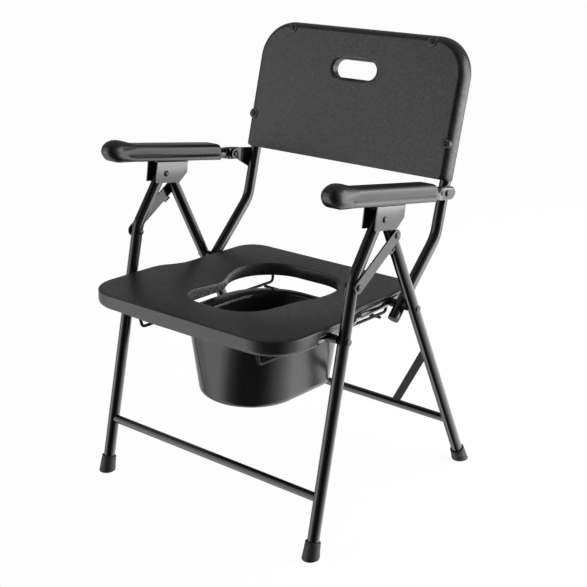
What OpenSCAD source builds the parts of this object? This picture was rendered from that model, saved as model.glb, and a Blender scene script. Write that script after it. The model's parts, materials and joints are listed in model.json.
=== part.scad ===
// Folding commode chair: steel tube frame, moulded seat and back, bucket on wire rails.
// Millimetres, +Z up, floor at z = 0, front toward -Y, the sitter's left toward +X.
// Side-view points are [y, z] pairs measured from the seat hinge.

/* [Tube and wire] */
// Diameter of the legs, arms and back tube
tube_d = 22; // [18:0.5:26]
// Diameter of the two tubes under the seat
seat_tube_d = 19; // [15:0.5:20]
// Diameter of the two crossbars
bar_d = 16; // [12:0.5:20]
// Diameter of the bucket rail wire
wire_d = 6; // [4:0.5:8]
// Diameter of the pivot bolts
bolt_d = 8; // [6:0.5:9]
// Diameter of the rivets in the arms and links
rivet_d = 6; // [4:0.5:8]

/* [Linkage, side view] */
// Height of the seat hinge above the floor
hinge_h = 380; // [360:1:400]
// Distance from rear to front pivot, the same along the seat and along the arm
pivot_span = 208; // [200:1:216]
// Arm hinge behind the seat hinge
arm_hinge_back = 95; // [90:1:100]
// Arm hinge above the seat hinge
arm_hinge_up = 196; // [190:1:202]
// Front foot ahead of the seat hinge
front_foot_ahead = 302; // [290:1:315]
// Rear foot behind the seat hinge
rear_foot_behind = 182; // [170:1:195]
// Bend of the front leg above the seat hinge
leg_bend_up = 105; // [103:1:110]
// Rear leg length above the seat hinge
rear_leg_top = 213; // [205:1:215]
// Link pivot on the front leg, above the seat hinge
link_front_up = 93; // [88:1:94]
// Link pivot on the rear leg, along the leg from the seat hinge
link_rear_along = 176; // [170:1:180]

/* [Widths] */
// Half the spacing of the legs and arms
leg_half = 263; // [255:1:280]
// Back tube sides inside the leg axes
back_step = 28; // [26:0.5:30]
// Seat tubes inside the back tube axes, at the front
front_tube_step = 17; // [14:1:21]
// Seat tubes inside the back tube axes, at the rear
rear_tube_step = 30; // [26:1:33]
// Half the spacing of the bucket rails
rail_half = 145; // [140:1:160]

/* [Back] */
// Slope of the lower part of the back tube
back_low_slope = 43.4; // [40:0.5:47]
// Length from seat hinge to the bend of the back tube
back_low_len = 150; // [140:1:160]
// Back tube length below the seat hinge
back_tail = 30; // [24:1:40]
// Lean of the upper back from upright
back_lean = 15.9; // [12:0.1:20]
// Length of the upper back, bend to top bar
back_len = 356; // [330:1:380]
// Bend radius at the top corners of the back tube
back_corner_r = 62; // [50:1:70]
// Panel edge outside the axis of the back tube sides
panel_side = 8; // [5:1:10]
// Height of the back panel
panel_h = 256; // [230:1:280]
// Thickness of the back panel
panel_t = 14; // [10:1:18]
// Front face of the panel ahead of the tube axis
panel_front = 24; // [22:1:26]
// Panel top edge above the axis of the top bar
panel_over = 7; // [3:1:9]
// Hand hole length
handle_w = 110; // [90:1:130]
// Hand hole height
handle_h = 40; // [30:1:50]
// Hand hole centre below the axis of the top bar
handle_down = 68; // [60:1:80]

/* [Seat] */
// Slope of the seat, lower at the rear
seat_tilt = 2; // [0:0.5:3]
// Seat top above the hinge
seat_rise = 15.6; // [14:0.2:18]
// Thickness of the seat board
seat_t = 28; // [25:1:34]
// Seat edge outside the axis of the seat tubes, at the front
seat_side_front = 22; // [18:1:28]
// Seat edge outside the axis of the seat tubes, at the rear
seat_side_rear = 9; // [7:1:14]
// Front edge of the seat ahead of the hinge
seat_front = 353; // [340:1:365]
// Rear edge of the seat behind the hinge
seat_back = 91; // [80:1:100]
// Depth of the dish beside the opening
dish_depth = 9; // [4:1:12]
// Half width of the opening at the rear lobe
hole_half_rear = 117; // [105:1:122]
// Half width of the opening at the front lobe
hole_half_front = 90; // [80:1:95]
// Front of the opening ahead of the hinge
hole_front = 262; // [250:1:270]
// Rear of the opening behind the hinge
hole_back = 27; // [15:1:35]

/* [Bucket and rails] */
// Rail axis below the seat top
rail_drop = 71; // [66:1:80]
// Front corner of the rails ahead of the hinge
rail_front = 292; // [285:1:300]
// Rear corner of the rails behind the hinge
rail_back = 82; // [70:1:84]
// Cross wire behind the hinge
cross_back = 60; // [54:1:66]
// Bucket centre at the rim, ahead of the hinge
bucket_ahead = 108; // [104:1:118]
// Bucket centre at the bottom, ahead of the hinge
bucket_low_ahead = 124; // [120:1:128]
// Half width of the bucket wall under the rim
bucket_half_w = 116; // [108:1:122]
// Half depth of the bucket wall under the rim
bucket_half_d = 146; // [138:1:150]
// Half depth of the bucket at the bottom
bucket_low_half_d = 124; // [116:1:126]
// Depth of the bucket under the rail
bucket_deep = 134; // [110:1:136]
// How far the side walls lean in from rim to bottom
bucket_draft = 16; // [8:1:22]
// Wall thickness of the bucket
bucket_wall = 3; // [2:0.5:5]
// Half width of the bucket rim
rim_half_w = 151; // [149:1:154]

/* [Arms] */
// Slope of the arm, higher at the front
arm_rise = 10; // [7:0.5:13]
// Armrest width
pad_w = 40; // [34:1:46]
// Armrest top above the arm axis
pad_top = 21; // [18:1:26]
// Rear end of the armrest from the arm hinge
pad_rear = 53; // [48:1:60]
// Front end of the armrest from the arm hinge
pad_front = 357; // [345:1:370]
// Front end of the channel beyond the span of the pivots
channel_ahead = 22; // [18:1:32]
// Rear end of the channel short of the span of the pivots
channel_behind = 61; // [56:1:68]
// Depth of the channel under the arm tube
channel_deep = 43; // [40:1:46]
// Channel and link sheet thickness
sheet_t = 2; // [1.5:0.5:3]

/* [Legs] */
// Height of the crossbars above the floor
bar_h = 106; // [95:1:112]
// Brace foot on the rear crossbar, inside the leg axis
brace_run = 129; // [95:1:145]
// Brace top on the rear leg, above the floor
brace_top = 283; // [240:1:290]
// Brace width
brace_w = 16; // [12:1:18]
// Foot cap diameter at the floor
foot_d = 32; // [29:1:38]
// Foot cap diameter at its top
foot_top_d = 26; // [25:0.5:28]
// Foot cap length along the leg
foot_len = 32; // [26:1:40]

/* [Fits] */
// Radial clearance of turning pins
run_fit = 0.06; // [0.03:0.01:0.1]
// Clearance between pieces fixed to each other
seat_fit = 0.05; // [0.02:0.01:0.1]
// Side clearance between pieces that pass each other
pass_gap = 0.5; // [0.4:0.1:1]

/* [Hidden] */
$fn = 48;
tube_r = tube_d / 2;
seat_tube_r = seat_tube_d / 2;
wire_r = wire_d / 2;
long_cut = 400;
// Cutters run this far past the face they cut
past = 1;
leg_in = leg_half - tube_r;
leg_out = leg_half + tube_r;
back_half = leg_half - back_step;
seat_tube_front = back_half - front_tube_step;
seat_tube_rear = back_half - rear_tube_step;
panel_half = back_half + panel_side;
seat_half_front = seat_tube_front + seat_side_front;
seat_half_rear = seat_tube_rear + seat_side_rear;
back_in = back_half - tube_r;
back_out = back_half + tube_r;
head_t = 3;
elbow_lap = 0.4;
elbow_thin = 0.1;
bolt_head_d = bolt_d + 5;
bolt_head_t = 1.5;
nut_d = bolt_d + 7;
nut_t = 6;
spacer_d = bolt_d + 8;
front_spacer_d = bolt_d + 7;
hinge_lap = 2;
spacer_lap = 3;
spacer_cut = 30;
rivet_head_d = rivet_d + 6;

// Side-view pivots from the seat hinge
hinge = [0, 0];
front_pivot = [-pivot_span, 0];
arm_hinge = [arm_hinge_back, arm_hinge_up];
arm_pivot = arm_hinge - [pivot_span, 0];

// Front leg: foot, straight through the front pivot, bend, then up to the arm pivot
front_foot = [-front_foot_ahead, -hinge_h];
front_lean = (front_foot_ahead - pivot_span) / hinge_h;
leg_bend = front_pivot + leg_bend_up * [front_lean, 1];
leg_bend_r = 40;
leg_over = 12;
leg_end = arm_pivot + leg_over * unit(arm_pivot - leg_bend);
link_front = front_pivot + link_front_up * [front_lean, 1];

// Rear leg: straight from foot through the seat hinge
rear_foot = [rear_foot_behind, -hinge_h];
rear_dir = unit(hinge - rear_foot);
rear_end = rear_leg_top * rear_dir;
link_rear = link_rear_along * rear_dir;

// Back tube: tail, bend and top bar
back_low_dir = [cos(back_low_slope), sin(back_low_slope)];
back_end = -back_tail * back_low_dir;
back_bend = back_low_len * back_low_dir;
back_bend_r = 65;
back_dir = [sin(back_lean), cos(back_lean)];
back_top = back_bend + back_len * back_dir;

// The hinge sits so that the whole chair is centred on the origin
rearmost = back_top[0] + tube_r;
foremost = seat_front * cos(seat_tilt) + (seat_t - seat_rise) * sin(seat_tilt);
hinge_y = (foremost - rearmost) / 2;

// Seat tube and bolts across the width
seat_tube_in = seat_tube_rear - seat_tube_r;
seat_tube_out = seat_tube_rear + seat_tube_r;
front_tube_in = seat_tube_front - seat_tube_r;
front_tube_out = seat_tube_front + seat_tube_r;
seat_tube_tail = 24;
skirt_back = 245;
bend_start = 150;
bend_end = 85;
lip_gap = 0.3;
rebate_gap = 1.5;

// Waist of the seat outline between front and rear widths
waist_start = 180;
waist_end = 92;
front_corner_r = 72;
rear_corner_r = 45;
front_lobe_r = 62;
rear_lobe_r = 85;
neck_start = 150;

// Rails and bucket in the seat's own tilted frame, z from the hinge
seat_bottom = seat_rise - seat_t;
rail_z = seat_rise - rail_drop;
rail_bend_r = 9;
rail_lean = 15;
socket_deep = 8;
rim_z = rail_z + wire_r;
rim_t = 4;
rim_half_d = 158;
bucket_corner_r = 96;
rim_corner_r = 112;
bottom_round = 14;

// Arm hinge tab and ear plates, across the width
tab_t = 10;
tab_half_h = 12.5;
tab_in = leg_half - tab_t / 2;
ear_t = 3.5;
ear_out = tab_in - pass_gap;
ear_in = ear_out - ear_t;
ear_r = 11;
tab_len = 44;
tab_over = 8;
tab_lap = 6;
channel_front = pivot_span + channel_ahead;
channel_rear = pivot_span - channel_behind;
channel_gap = 1.5;
channel_half = tube_r + channel_gap;
pad_lap = 0.5;
pad_bottom = -tube_r - pad_lap;
channel_top = pad_bottom - seat_fit;
groove_d = tube_d + 2 * seat_fit;
bulb_h = 41;
bulb_w = 45;
bulb_up = 7.5;

// Links lie outside the legs
link_in = leg_out + pass_gap;
link_t = 3;
link_w = 22;
foot_inset = 8;

function unit(v) = v / norm(v);

// Point in the chair from a half width and a side-view place
function at(x, place) = [x, hinge_y + place[0], hinge_h + place[1]];

// Points of an arc from angle a to angle b
function arc(c, r, a, b, n = 10) =
    [for (i = [0:n]) c + r * [cos(a + (b - a) * i / n), sin(a + (b - a) * i / n)]];

// S-shaped run between two parallel lines, as two equal arcs
function sway(p, q) =
    let (turn = 2 * atan(abs(q[0] - p[0]) / (q[1] - p[1])),
         r = (q[1] - p[1]) / (2 * sin(turn)),
         way = sign(q[0] - p[0]))
    way < 0
        ? concat(arc([p[0] - r, p[1]], r, 0, turn, 6), arc([q[0] + r, q[1]], r, 180 + turn, 180, 6))
        : concat(arc([p[0] + r, p[1]], r, 180, 180 - turn, 6), arc([q[0] - r, q[1]], r, -turn, 0, 6));

function mirrored(points) = [for (i = [len(points) - 1:-1:0]) [-points[i][0], points[i][1]]];

// Left pieces are drawn as they are, right pieces are their mirror image
module on_side(side) {
    if (side > 0) children();
    else mirror([1, 0, 0]) children();
}

module both_sides() {
    on_side(1) children();
    on_side(-1) children();
}

// Frame tilted with the seat, origin at the seat hinge
module in_seat() {
    translate([0, hinge_y, hinge_h]) rotate([-seat_tilt, 0, 0]) children();
}

// Frame of the upper back, origin on the tube axis at its bend, z up along the back
module in_back() {
    translate(at(0, back_bend)) rotate([-back_lean, 0, 0]) children();
}

// Frame of an arm, origin at its hinge, -y forward along the arm
module in_arm() {
    translate(at(leg_half, arm_hinge)) rotate([-arm_rise, 0, 0]) children();
}

// Round bar from p to q
module rod(p, q, d) {
    v = q - p;
    translate(p)
        rotate([0, acos(v[2] / norm(v)), atan2(v[1], v[0])])
            cylinder(d = d, h = norm(v));
}

// Round bar across the chair from x0 to x1 at a side-view place
module pin(place, x0, x1, d) {
    translate(at(x0, place)) rotate([0, 90, 0]) cylinder(d = d, h = x1 - x0);
}

// Length of straight tube used up by a bend of radius r at points[i]
function bend_run(points, i, r) =
    let (u = unit(points[i] - points[i - 1]), w = unit(points[i + 1] - points[i]))
    r * tan(acos(u * w) / 2);

// Round elbow of radius r at point b of the path a, b, c
module elbow(a, b, c, r, d) {
    u = unit(b - a);
    w = unit(c - b);
    turn = acos(u * w);
    centre = b + unit(w - u) * r / cos(turn / 2);
    start = b - u * r * tan(turn / 2);
    e = (start - centre) / r;
    n = unit(cross(u, w));
    multmatrix([[e[0], u[0], n[0], centre[0]],
                [e[1], u[1], n[1], centre[1]],
                [e[2], u[2], n[2], centre[2]],
                [0, 0, 0, 1]])
        rotate_extrude(angle = turn) translate([r, 0]) circle(d = d);
}

// Round tube along points, with one bend radius for each inner point
// Elbows are a hair thinner and the straight runs reach a little into them
module bent_rod(points, radii, d) {
    last = len(points) - 1;
    for (i = [0:last - 1]) {
        u = unit(points[i + 1] - points[i]);
        from_run = i == 0 ? 0 : bend_run(points, i, radii[i - 1]) - elbow_lap;
        to_run = i == last - 1 ? 0 : bend_run(points, i + 1, radii[i]) - elbow_lap;
        rod(points[i] + u * from_run, points[i + 1] - u * to_run, d);
    }
    for (i = [1:last - 1])
        elbow(points[i - 1], points[i], points[i + 1], radii[i - 1], d - elbow_thin);
}

// Rectangle with rounded corners, centred
module round_plate(half_w, half_d, r) {
    square([2 * half_w, 2 * (half_d - r)], center = true);
    square([2 * (half_w - r), 2 * half_d], center = true);
    for (x = [-1, 1], y = [-1, 1])
        translate([x * (half_w - r), y * (half_d - r)]) circle(r);
}

// Bolt across the chair with a flat head outside and a nut inside
module cross_bolt(place, x0, x1) {
    pin(place, x0, x1, bolt_d);
    pin(place, x1 - seat_fit, x1 + bolt_head_t, bolt_head_d);
    pin(place, x0 - nut_t, x0 + seat_fit, nut_d);
}

// Rivet head across the chair, from x0 outward or inward by its thickness
module rivet_head(place, x0, x1) {
    pin(place, x0, x1, rivet_head_d);
}

// Back frame

back_path = [at(back_half, back_end), at(back_half, back_bend), at(back_half, back_top),
             at(-back_half, back_top), at(-back_half, back_bend), at(-back_half, back_end)];
back_radii = [back_bend_r, back_corner_r, back_corner_r, back_bend_r];
screw_d = 5;
panel_screw_up = 174;
screw_head_d = 10;
screw_head_t = 2.5;
boss_r = 9.5;
boss_t = 2;
panel_screw_spots = [[back_half - back_corner_r - screw_head_d / 2, back_len], [back_half, panel_screw_up]];
panel_top = back_len + panel_over;
panel_corner_r = back_corner_r + panel_over;
panel_low_r = 18;

module back_tube() {
    color([0.06, 0.06, 0.06])
    difference() {
        bent_rod(back_path, back_radii, tube_d);
        both_sides() pin(hinge, back_in - past, back_out + past, bolt_d + 2 * seat_fit);
        in_back() panel_screw_shanks(screw_d + 2 * seat_fit);
    }
}

// Screw shanks from the panel front into the middle of the tube
module panel_screw_shanks(d) {
    for (spot = panel_screw_spots, side = [-1, 1])
        translate([side * spot[0], 0, spot[1]])
            rotate([90, 0, 0]) cylinder(d = d, h = panel_front + boss_t + seat_fit);
}

module panel_outline() {
    low = panel_top - panel_h;
    high_r = panel_corner_r;
    translate([-panel_half, low + panel_low_r])
        square([2 * panel_half, panel_h - panel_low_r - high_r]);
    translate([panel_low_r - panel_half, low])
        square([2 * (panel_half - panel_low_r), panel_h - high_r]);
    translate([high_r - panel_half, low + panel_low_r])
        square([2 * (panel_half - high_r), panel_h - panel_low_r]);
    for (side = [-1, 1]) {
        translate([side * (panel_half - high_r), panel_top - high_r]) circle(high_r);
        translate([side * (panel_half - panel_low_r), low + panel_low_r]) circle(panel_low_r);
    }
}

// Oval of a given length and height
module oval(w, h) {
    square([w - h, h], center = true);
    for (side = [-1, 1])
        translate([side * (w - h) / 2, 0]) circle(d = h);
}

handle_rim = 5;
rim_deep = 2;

module back_panel() {
    color([0.09, 0.09, 0.09])
    difference() {
        in_back() difference() {
            union() {
                translate([0, panel_t - panel_front, 0])
                    rotate([90, 0, 0]) linear_extrude(panel_t) panel_outline();
                for (spot = panel_screw_spots, side = [-1, 1])
                    translate([side * spot[0], panel_t - panel_front, spot[1]])
                        rotate([90, 0, 0]) cylinder(r = boss_r, h = panel_t + boss_t);
            }
            translate([0, 0, back_len - handle_down]) rotate([90, 0, 0]) {
                linear_extrude(long_cut / 4) oval(handle_w, handle_h);
                translate([0, 0, panel_front - rim_deep])
                    linear_extrude(long_cut / 4) oval(handle_w + 2 * handle_rim, handle_h + 2 * handle_rim);
            }
            panel_screw_shanks(screw_d + 2 * seat_fit);
        }
        bent_rod(back_path, back_radii, groove_d);
    }
}

module panel_screws() {
    color([0.25, 0.25, 0.25])
    in_back() {
        panel_screw_shanks(screw_d);
        for (spot = panel_screw_spots, side = [-1, 1])
            translate([side * spot[0], -panel_front - boss_t, spot[1]])
                rotate([90, 0, 0]) cylinder(d = screw_head_d, h = screw_head_t);
    }
}

// Ear plate: a disc at the arm hinge flaring back to a strip on the tube
ear_strip_high = 9;
ear_strip_low = -31;
ear_strip_back = 36;
ear_strip_t = 6;

module hinge_ear(side) {
    color([0.06, 0.06, 0.06])
    on_side(side) difference() {
        hull() {
            pin(arm_hinge, ear_in, ear_out, 2 * ear_r);
            translate(at(back_half + tube_r / 2, arm_hinge + [ear_strip_back, ear_strip_low]))
                cube([ear_out - back_half - tube_r / 2, ear_strip_t, ear_strip_high - ear_strip_low]);
        }
        pin(arm_hinge, ear_in - past, ear_out + past, rivet_d + 2 * seat_fit);
        pin(arm_hinge, back_half, ear_in, rivet_head_d + 2 * pass_gap);
        bent_rod(back_path, back_radii, groove_d);
    }
}

plug_t = 3;
plug_d = tube_d - 1;

module back_tube_plugs() {
    outer = back_end - plug_t * back_low_dir;
    inner = back_end - seat_fit * back_low_dir;
    color([0.04, 0.04, 0.04])
    both_sides() rod(at(back_half, outer), at(back_half, inner), plug_d);
}

module seat_hinge_bolts() {
    color([0.2, 0.2, 0.2])
    both_sides() cross_bolt(hinge, seat_tube_in - pass_gap, leg_out + pass_gap);
}

// Rings on the hinge bolts between rear leg, back tube and seat tube
module hinge_spacers() {
    color([0.05, 0.05, 0.05])
    both_sides() difference() {
        union() {
            pin(hinge, back_out - hinge_lap, leg_in - pass_gap / 2, spacer_d);
            pin(hinge, seat_tube_out + pass_gap / 2, back_in + hinge_lap, spacer_d);
        }
        pin(hinge, seat_tube_out, leg_in, bolt_d + 2 * seat_fit);
        bent_rod(back_path, back_radii, groove_d);
    }
}

module arm_hinge_rivets() {
    outer = leg_half + tab_t / 2 + pass_gap;
    color([0.2, 0.2, 0.2])
    both_sides() {
        pin(arm_hinge, ear_in - head_t / 2, outer, rivet_d);
        rivet_head(arm_hinge, outer - seat_fit, outer + head_t);
        rivet_head(arm_hinge, ear_in - head_t, ear_in - seat_fit);
    }
}

// Seat

function seat_half_outline() = concat(
    arc([seat_half_front - front_corner_r, front_corner_r - seat_front], front_corner_r, -90, 0, 14),
    sway([seat_half_front, -waist_start], [seat_half_rear, -waist_end]),
    arc([seat_half_rear - rear_corner_r, seat_back - rear_corner_r], rear_corner_r, 0, 90, 10));

function hole_half_outline() = concat(
    arc([hole_half_front - front_lobe_r, front_lobe_r - hole_front], front_lobe_r, -90, 0, 10),
    sway([hole_half_front, -neck_start], [hole_half_rear, hole_back - rear_lobe_r]),
    arc([hole_half_rear - rear_lobe_r, hole_back - rear_lobe_r], rear_lobe_r, 0, 90, 12));

module whole_outline(half_points) {
    polygon(concat(half_points, mirrored(half_points)));
}

// Middle and reach of the dish in the seat top
dish_y = -115;
dish_reach = 222;
dish_inner = 100;
dish_r = pow(dish_reach - dish_inner, 2) / (2 * dish_depth);

// Shallow bowl cut from the seat top, its side a curve tangent to the top
module dish() {
    steps = 12;
    bowl = [for (i = [0:steps])
            let (r = dish_reach * i / steps)
            [r, -pow(dish_reach - r, 2) / (2 * dish_r)]];
    translate([0, dish_y, seat_rise])
        rotate_extrude($fn = 96)
            polygon(concat(bowl, [[dish_reach, 1], [0, 1]]));
}

// Space beside the board for the seat tube, from the skirt to the rear
module tube_rebate() {
    inner = seat_tube_r + rebate_gap;
    points = concat(
        [[seat_tube_front - inner, -skirt_back]],
        sway([seat_tube_front - inner, -bend_start], [seat_tube_rear - inner, -bend_end]),
        [[seat_tube_rear - inner, long_cut], [long_cut, long_cut], [long_cut, -skirt_back]]);
    translate([0, hinge_y, hinge_h - 3 * seat_t])
        linear_extrude(3 * seat_t + seat_tube_r + lip_gap) polygon(points);
}

seat_screw_spots = [-225, -50];
seat_screw_in = 3;

function seat_screw_x(y) = y < -bend_start ? seat_tube_front : seat_tube_rear;

module seat_screw_shanks(d) {
    height = seat_tube_d + past + lip_gap + seat_screw_in;
    for (y = seat_screw_spots)
        translate(at(seat_screw_x(y), [y, -seat_tube_r - past])) cylinder(d = d, h = height);
}

module seat_board() {
    color([0.09, 0.09, 0.09])
    difference() {
        in_seat() difference() {
            translate([0, 0, seat_bottom]) linear_extrude(seat_t) whole_outline(seat_half_outline());
            translate([0, 0, seat_bottom - past]) linear_extrude(seat_t + 2 * past)
                whole_outline(hole_half_outline());
            dish();
            both_sides() bucket_rail(wire_d + 2 * seat_fit, socket_deep + past);
        }
        both_sides() tube_rebate();
        both_sides() seat_screw_shanks(screw_d + 2 * seat_fit);
        both_sides() nut_pocket(hinge, seat_tube_in);
        both_sides() nut_pocket(front_pivot, front_tube_in);
    }
}

// Round pocket in the board for a nut on the inner side of a seat tube
module nut_pocket(place, x) {
    pin(place, x - nut_t - head_t, x + past, nut_d + 2 * past);
}

module seat_tube(side) {
    x0 = seat_tube_front;
    x1 = seat_tube_rear;
    turn = atan((x0 - x1) / (bend_start - bend_end) * 2);
    quarter = (bend_start - bend_end) / 4;
    sway_r = 0.8 * quarter / tan(turn / 2);
    near = bend_start - quarter;
    far = bend_end + quarter;
    color([0.06, 0.06, 0.06])
    on_side(side) difference() {
        bent_rod([at(x0, [lip_gap - skirt_back, 0]), at(x0, [-near, 0]), at(x1, [-far, 0]),
                  at(x1, [seat_tube_tail, 0])], [sway_r, sway_r], seat_tube_d);
        pin(hinge, seat_tube_in - past, seat_tube_out + past, bolt_d + 2 * run_fit);
        pin(front_pivot, front_tube_in - past, front_tube_out + past, bolt_d + 2 * seat_fit);
        seat_screw_shanks(screw_d + 2 * seat_fit);
    }
}

module seat_screws() {
    color([0.2, 0.2, 0.2])
    both_sides() {
        seat_screw_shanks(screw_d);
        for (y = seat_screw_spots) {
            translate(at(seat_screw_x(y), [y, -seat_tube_r - screw_head_t])) {
                cylinder(d = screw_head_d, h = screw_head_t - past);
                cylinder(d = screw_d, h = screw_head_t);
            }
        }
    }
}

// Rail wire in the seat frame: up into the board at both ends
module bucket_rail(d, into) {
    rise = seat_bottom + into - rail_z;
    front_top = [rail_half, -rail_front - rise * tan(rail_lean), rail_z + rise];
    rear_top = [rail_half, rail_back, rail_z + rise];
    bent_rod([front_top, [rail_half, -rail_front, rail_z], [rail_half, rail_back, rail_z], rear_top],
             [rail_bend_r, rail_bend_r], d);
}

module rail(side) {
    color([0.06, 0.06, 0.06])
    on_side(side) in_seat() bucket_rail(wire_d, socket_deep);
}

module rail_cross_wire() {
    color([0.06, 0.06, 0.06])
    in_seat() rod([-rail_half - wire_r, cross_back, rail_z - wire_d - seat_fit],
                  [rail_half + wire_r, cross_back, rail_z - wire_d - seat_fit], wire_d);
}

module front_pivot_bolts() {
    color([0.2, 0.2, 0.2])
    both_sides() cross_bolt(front_pivot, front_tube_in - 2 * seat_fit, leg_out + pass_gap);
}

module front_pivot_spacers() {
    color([0.05, 0.05, 0.05])
    both_sides() difference() {
        pin(front_pivot, front_tube_out - spacer_lap, leg_in - pass_gap, front_spacer_d);
        pin(front_pivot, front_tube_in, leg_in, bolt_d + 2 * seat_fit);
        rod(at(seat_tube_front, front_pivot - [spacer_cut, 0]),
            at(seat_tube_front, front_pivot + [spacer_cut, 0]), seat_tube_d + 2 * seat_fit);
    }
}

// Bucket

// Slices of the rounded bottom edge, each with its pull inward and its height
slice = 0.01;
bottom_steps = [[0, 1], [0.3, 0.3], [1, 0]];

// Bucket form shrunk by inset on every side, open at the top by over
module bucket_form(inset, over) {
    low_w = bucket_half_w - bucket_draft - inset;
    low_d = bucket_low_half_d - inset;
    r_top = bucket_corner_r - inset;
    r_low = bucket_corner_r - bucket_draft - inset;
    floor_z = rim_z - bucket_deep + inset;
    hull() {
        translate([0, -bucket_ahead, rim_z]) linear_extrude(slice + over)
            round_plate(bucket_half_w - inset, bucket_half_d - inset, r_top);
        for (step = bottom_steps) {
            pull = bottom_round * step[0];
            translate([0, -bucket_low_ahead, floor_z + bottom_round * step[1]]) linear_extrude(slice)
                round_plate(low_w - pull, low_d - pull, r_low - pull);
        }
    }
}

module bucket() {
    color([0.04, 0.04, 0.04])
    in_seat() translate([0, 0, pass_gap / 5]) difference() {
        union() {
            bucket_form(0, 0);
            translate([0, -bucket_ahead, rim_z]) linear_extrude(rim_t)
                round_plate(rim_half_w, rim_half_d, rim_corner_r);
        }
        bucket_form(bucket_wall, 2 * rim_t);
    }
}

// Legs

foot_turn_front = -atan(front_lean);
foot_turn_rear = atan(rear_foot_behind / hinge_h);
front_leg_path = [at(leg_half, front_foot + foot_inset * unit([front_lean, 1])),
                  at(leg_half, leg_bend), at(leg_half, leg_end)];

module front_leg_rod(d) {
    bent_rod(front_leg_path, [leg_bend_r], d);
}

module front_leg(side) {
    color([0.06, 0.06, 0.06])
    on_side(side) difference() {
        front_leg_rod(tube_d);
        pin(front_pivot, leg_in - past, leg_out + past, bolt_d + 2 * run_fit);
        pin(arm_pivot, leg_in - past, leg_out + past, rivet_d + 2 * run_fit);
        pin(link_front, leg_half, leg_out + past, rivet_d + 2 * seat_fit);
    }
}

module rear_leg_rod(d) {
    rod(at(leg_half, rear_foot + foot_inset * rear_dir), at(leg_half, rear_end), d);
}

module rear_leg(side) {
    color([0.06, 0.06, 0.06])
    on_side(side) difference() {
        rear_leg_rod(tube_d);
        pin(hinge, leg_in - past, leg_out + past, bolt_d + 2 * run_fit);
    }
}

front_bar_place = front_foot + bar_h * [front_lean, 1];
rear_bar_place = rear_foot + bar_h / rear_dir[1] * rear_dir;

module front_crossbar() {
    color([0.06, 0.06, 0.06])
    difference() {
        pin(front_bar_place, -leg_half, leg_half, bar_d);
        both_sides() front_leg_rod(groove_d);
    }
}

module rear_crossbar() {
    color([0.06, 0.06, 0.06])
    difference() {
        pin(rear_bar_place, -leg_half, leg_half, bar_d);
        both_sides() rear_leg_rod(groove_d);
    }
}

// Flat strap in the plane of the rear legs, coped at bar and leg
brace_t = 3;
brace_rise = (brace_top - bar_h) / rear_dir[1];

module rear_brace(side) {
    slant = atan2(brace_rise, brace_run);
    color([0.06, 0.06, 0.06])
    on_side(side) difference() {
        translate(at(0, rear_bar_place)) rotate([foot_turn_rear, 0, 0])
            translate([leg_half - brace_run, 0, 0]) rotate([0, -slant, 0])
                translate([0, -brace_t / 2, -brace_w / 2])
                    cube([norm([brace_rise, brace_run]), brace_t, brace_w]);
        rear_leg_rod(groove_d);
        pin(rear_bar_place, 0, leg_half, bar_d + 2 * seat_fit);
        // Trims the corner that would show below the crossbar
        translate(at(0, rear_bar_place)) rotate([foot_turn_rear, 0, 0])
            translate([0, -tube_d, -tube_d]) cube([leg_half, 2 * tube_d, tube_d]);
    }
}

// Rubber cap on a leg end, cut level at the floor
module foot_cap(place, turn) {
    below = foot_inset - foot_len / 2;
    intersection() {
        translate(at(leg_half, place)) rotate([turn, 0, 0]) difference() {
            translate([0, 0, below])
                cylinder(d1 = foot_d, d2 = foot_top_d, h = foot_len - below);
            translate([0, 0, foot_inset - seat_fit]) cylinder(d = groove_d, h = 2 * foot_len);
        }
        translate([leg_half - foot_d, -long_cut, 0]) cube([2 * foot_d, 2 * long_cut, 2 * foot_len]);
    }
}

module front_feet(side) {
    color([0.05, 0.05, 0.05])
    on_side(side) foot_cap(front_foot, foot_turn_front);
}

module rear_feet(side) {
    color([0.05, 0.05, 0.05])
    on_side(side) foot_cap(rear_foot, foot_turn_rear);
}

module link_front_rivets() {
    outer = link_in + link_t + pass_gap;
    color([0.2, 0.2, 0.2])
    both_sides() {
        pin(link_front, leg_half, outer, rivet_d);
        rivet_head(link_front, outer - seat_fit, outer + head_t);
    }
}

// Links

link_span = link_rear - link_front;

module link(side) {
    color([0.06, 0.06, 0.06])
    on_side(side) difference() {
        translate(at(link_in, link_front)) rotate([atan2(link_span[1], link_span[0]), 0, 0])
            rotate([90, 0, 90]) linear_extrude(link_t) {
                translate([0, -link_w / 2]) square([norm(link_span), link_w]);
                circle(d = link_w);
                translate([norm(link_span), 0]) circle(d = link_w);
            }
        pin(link_front, link_in - past, link_in + link_t + past, rivet_d + 2 * run_fit);
        pin(link_rear, link_in - past, link_in + link_t + past, rivet_d + 2 * seat_fit);
    }
}

module link_rivet(side) {
    color([0.2, 0.2, 0.2])
    on_side(side) {
        pin(link_rear, link_in, link_in + link_t + seat_fit, rivet_d);
        rivet_head(link_rear, link_in + link_t + seat_fit, link_in + link_t + head_t);
    }
}

// Arms

// Armrest screws stand clear of the channel, and bite into the pad above the tube
pad_screw_behind = 12;
pad_screw_ahead = 32;
pad_screw_spots = [channel_rear - pad_screw_behind, channel_front + pad_screw_ahead];
screw_below = 1;
screw_bite = 6;
arm_tube_front = pad_front - bulb_h / 2;

module pad_screw_shanks(d) {
    for (a = pad_screw_spots)
        translate([0, -a, -tube_r - screw_below]) cylinder(d = d, h = tube_d + screw_below + screw_bite);
}

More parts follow.
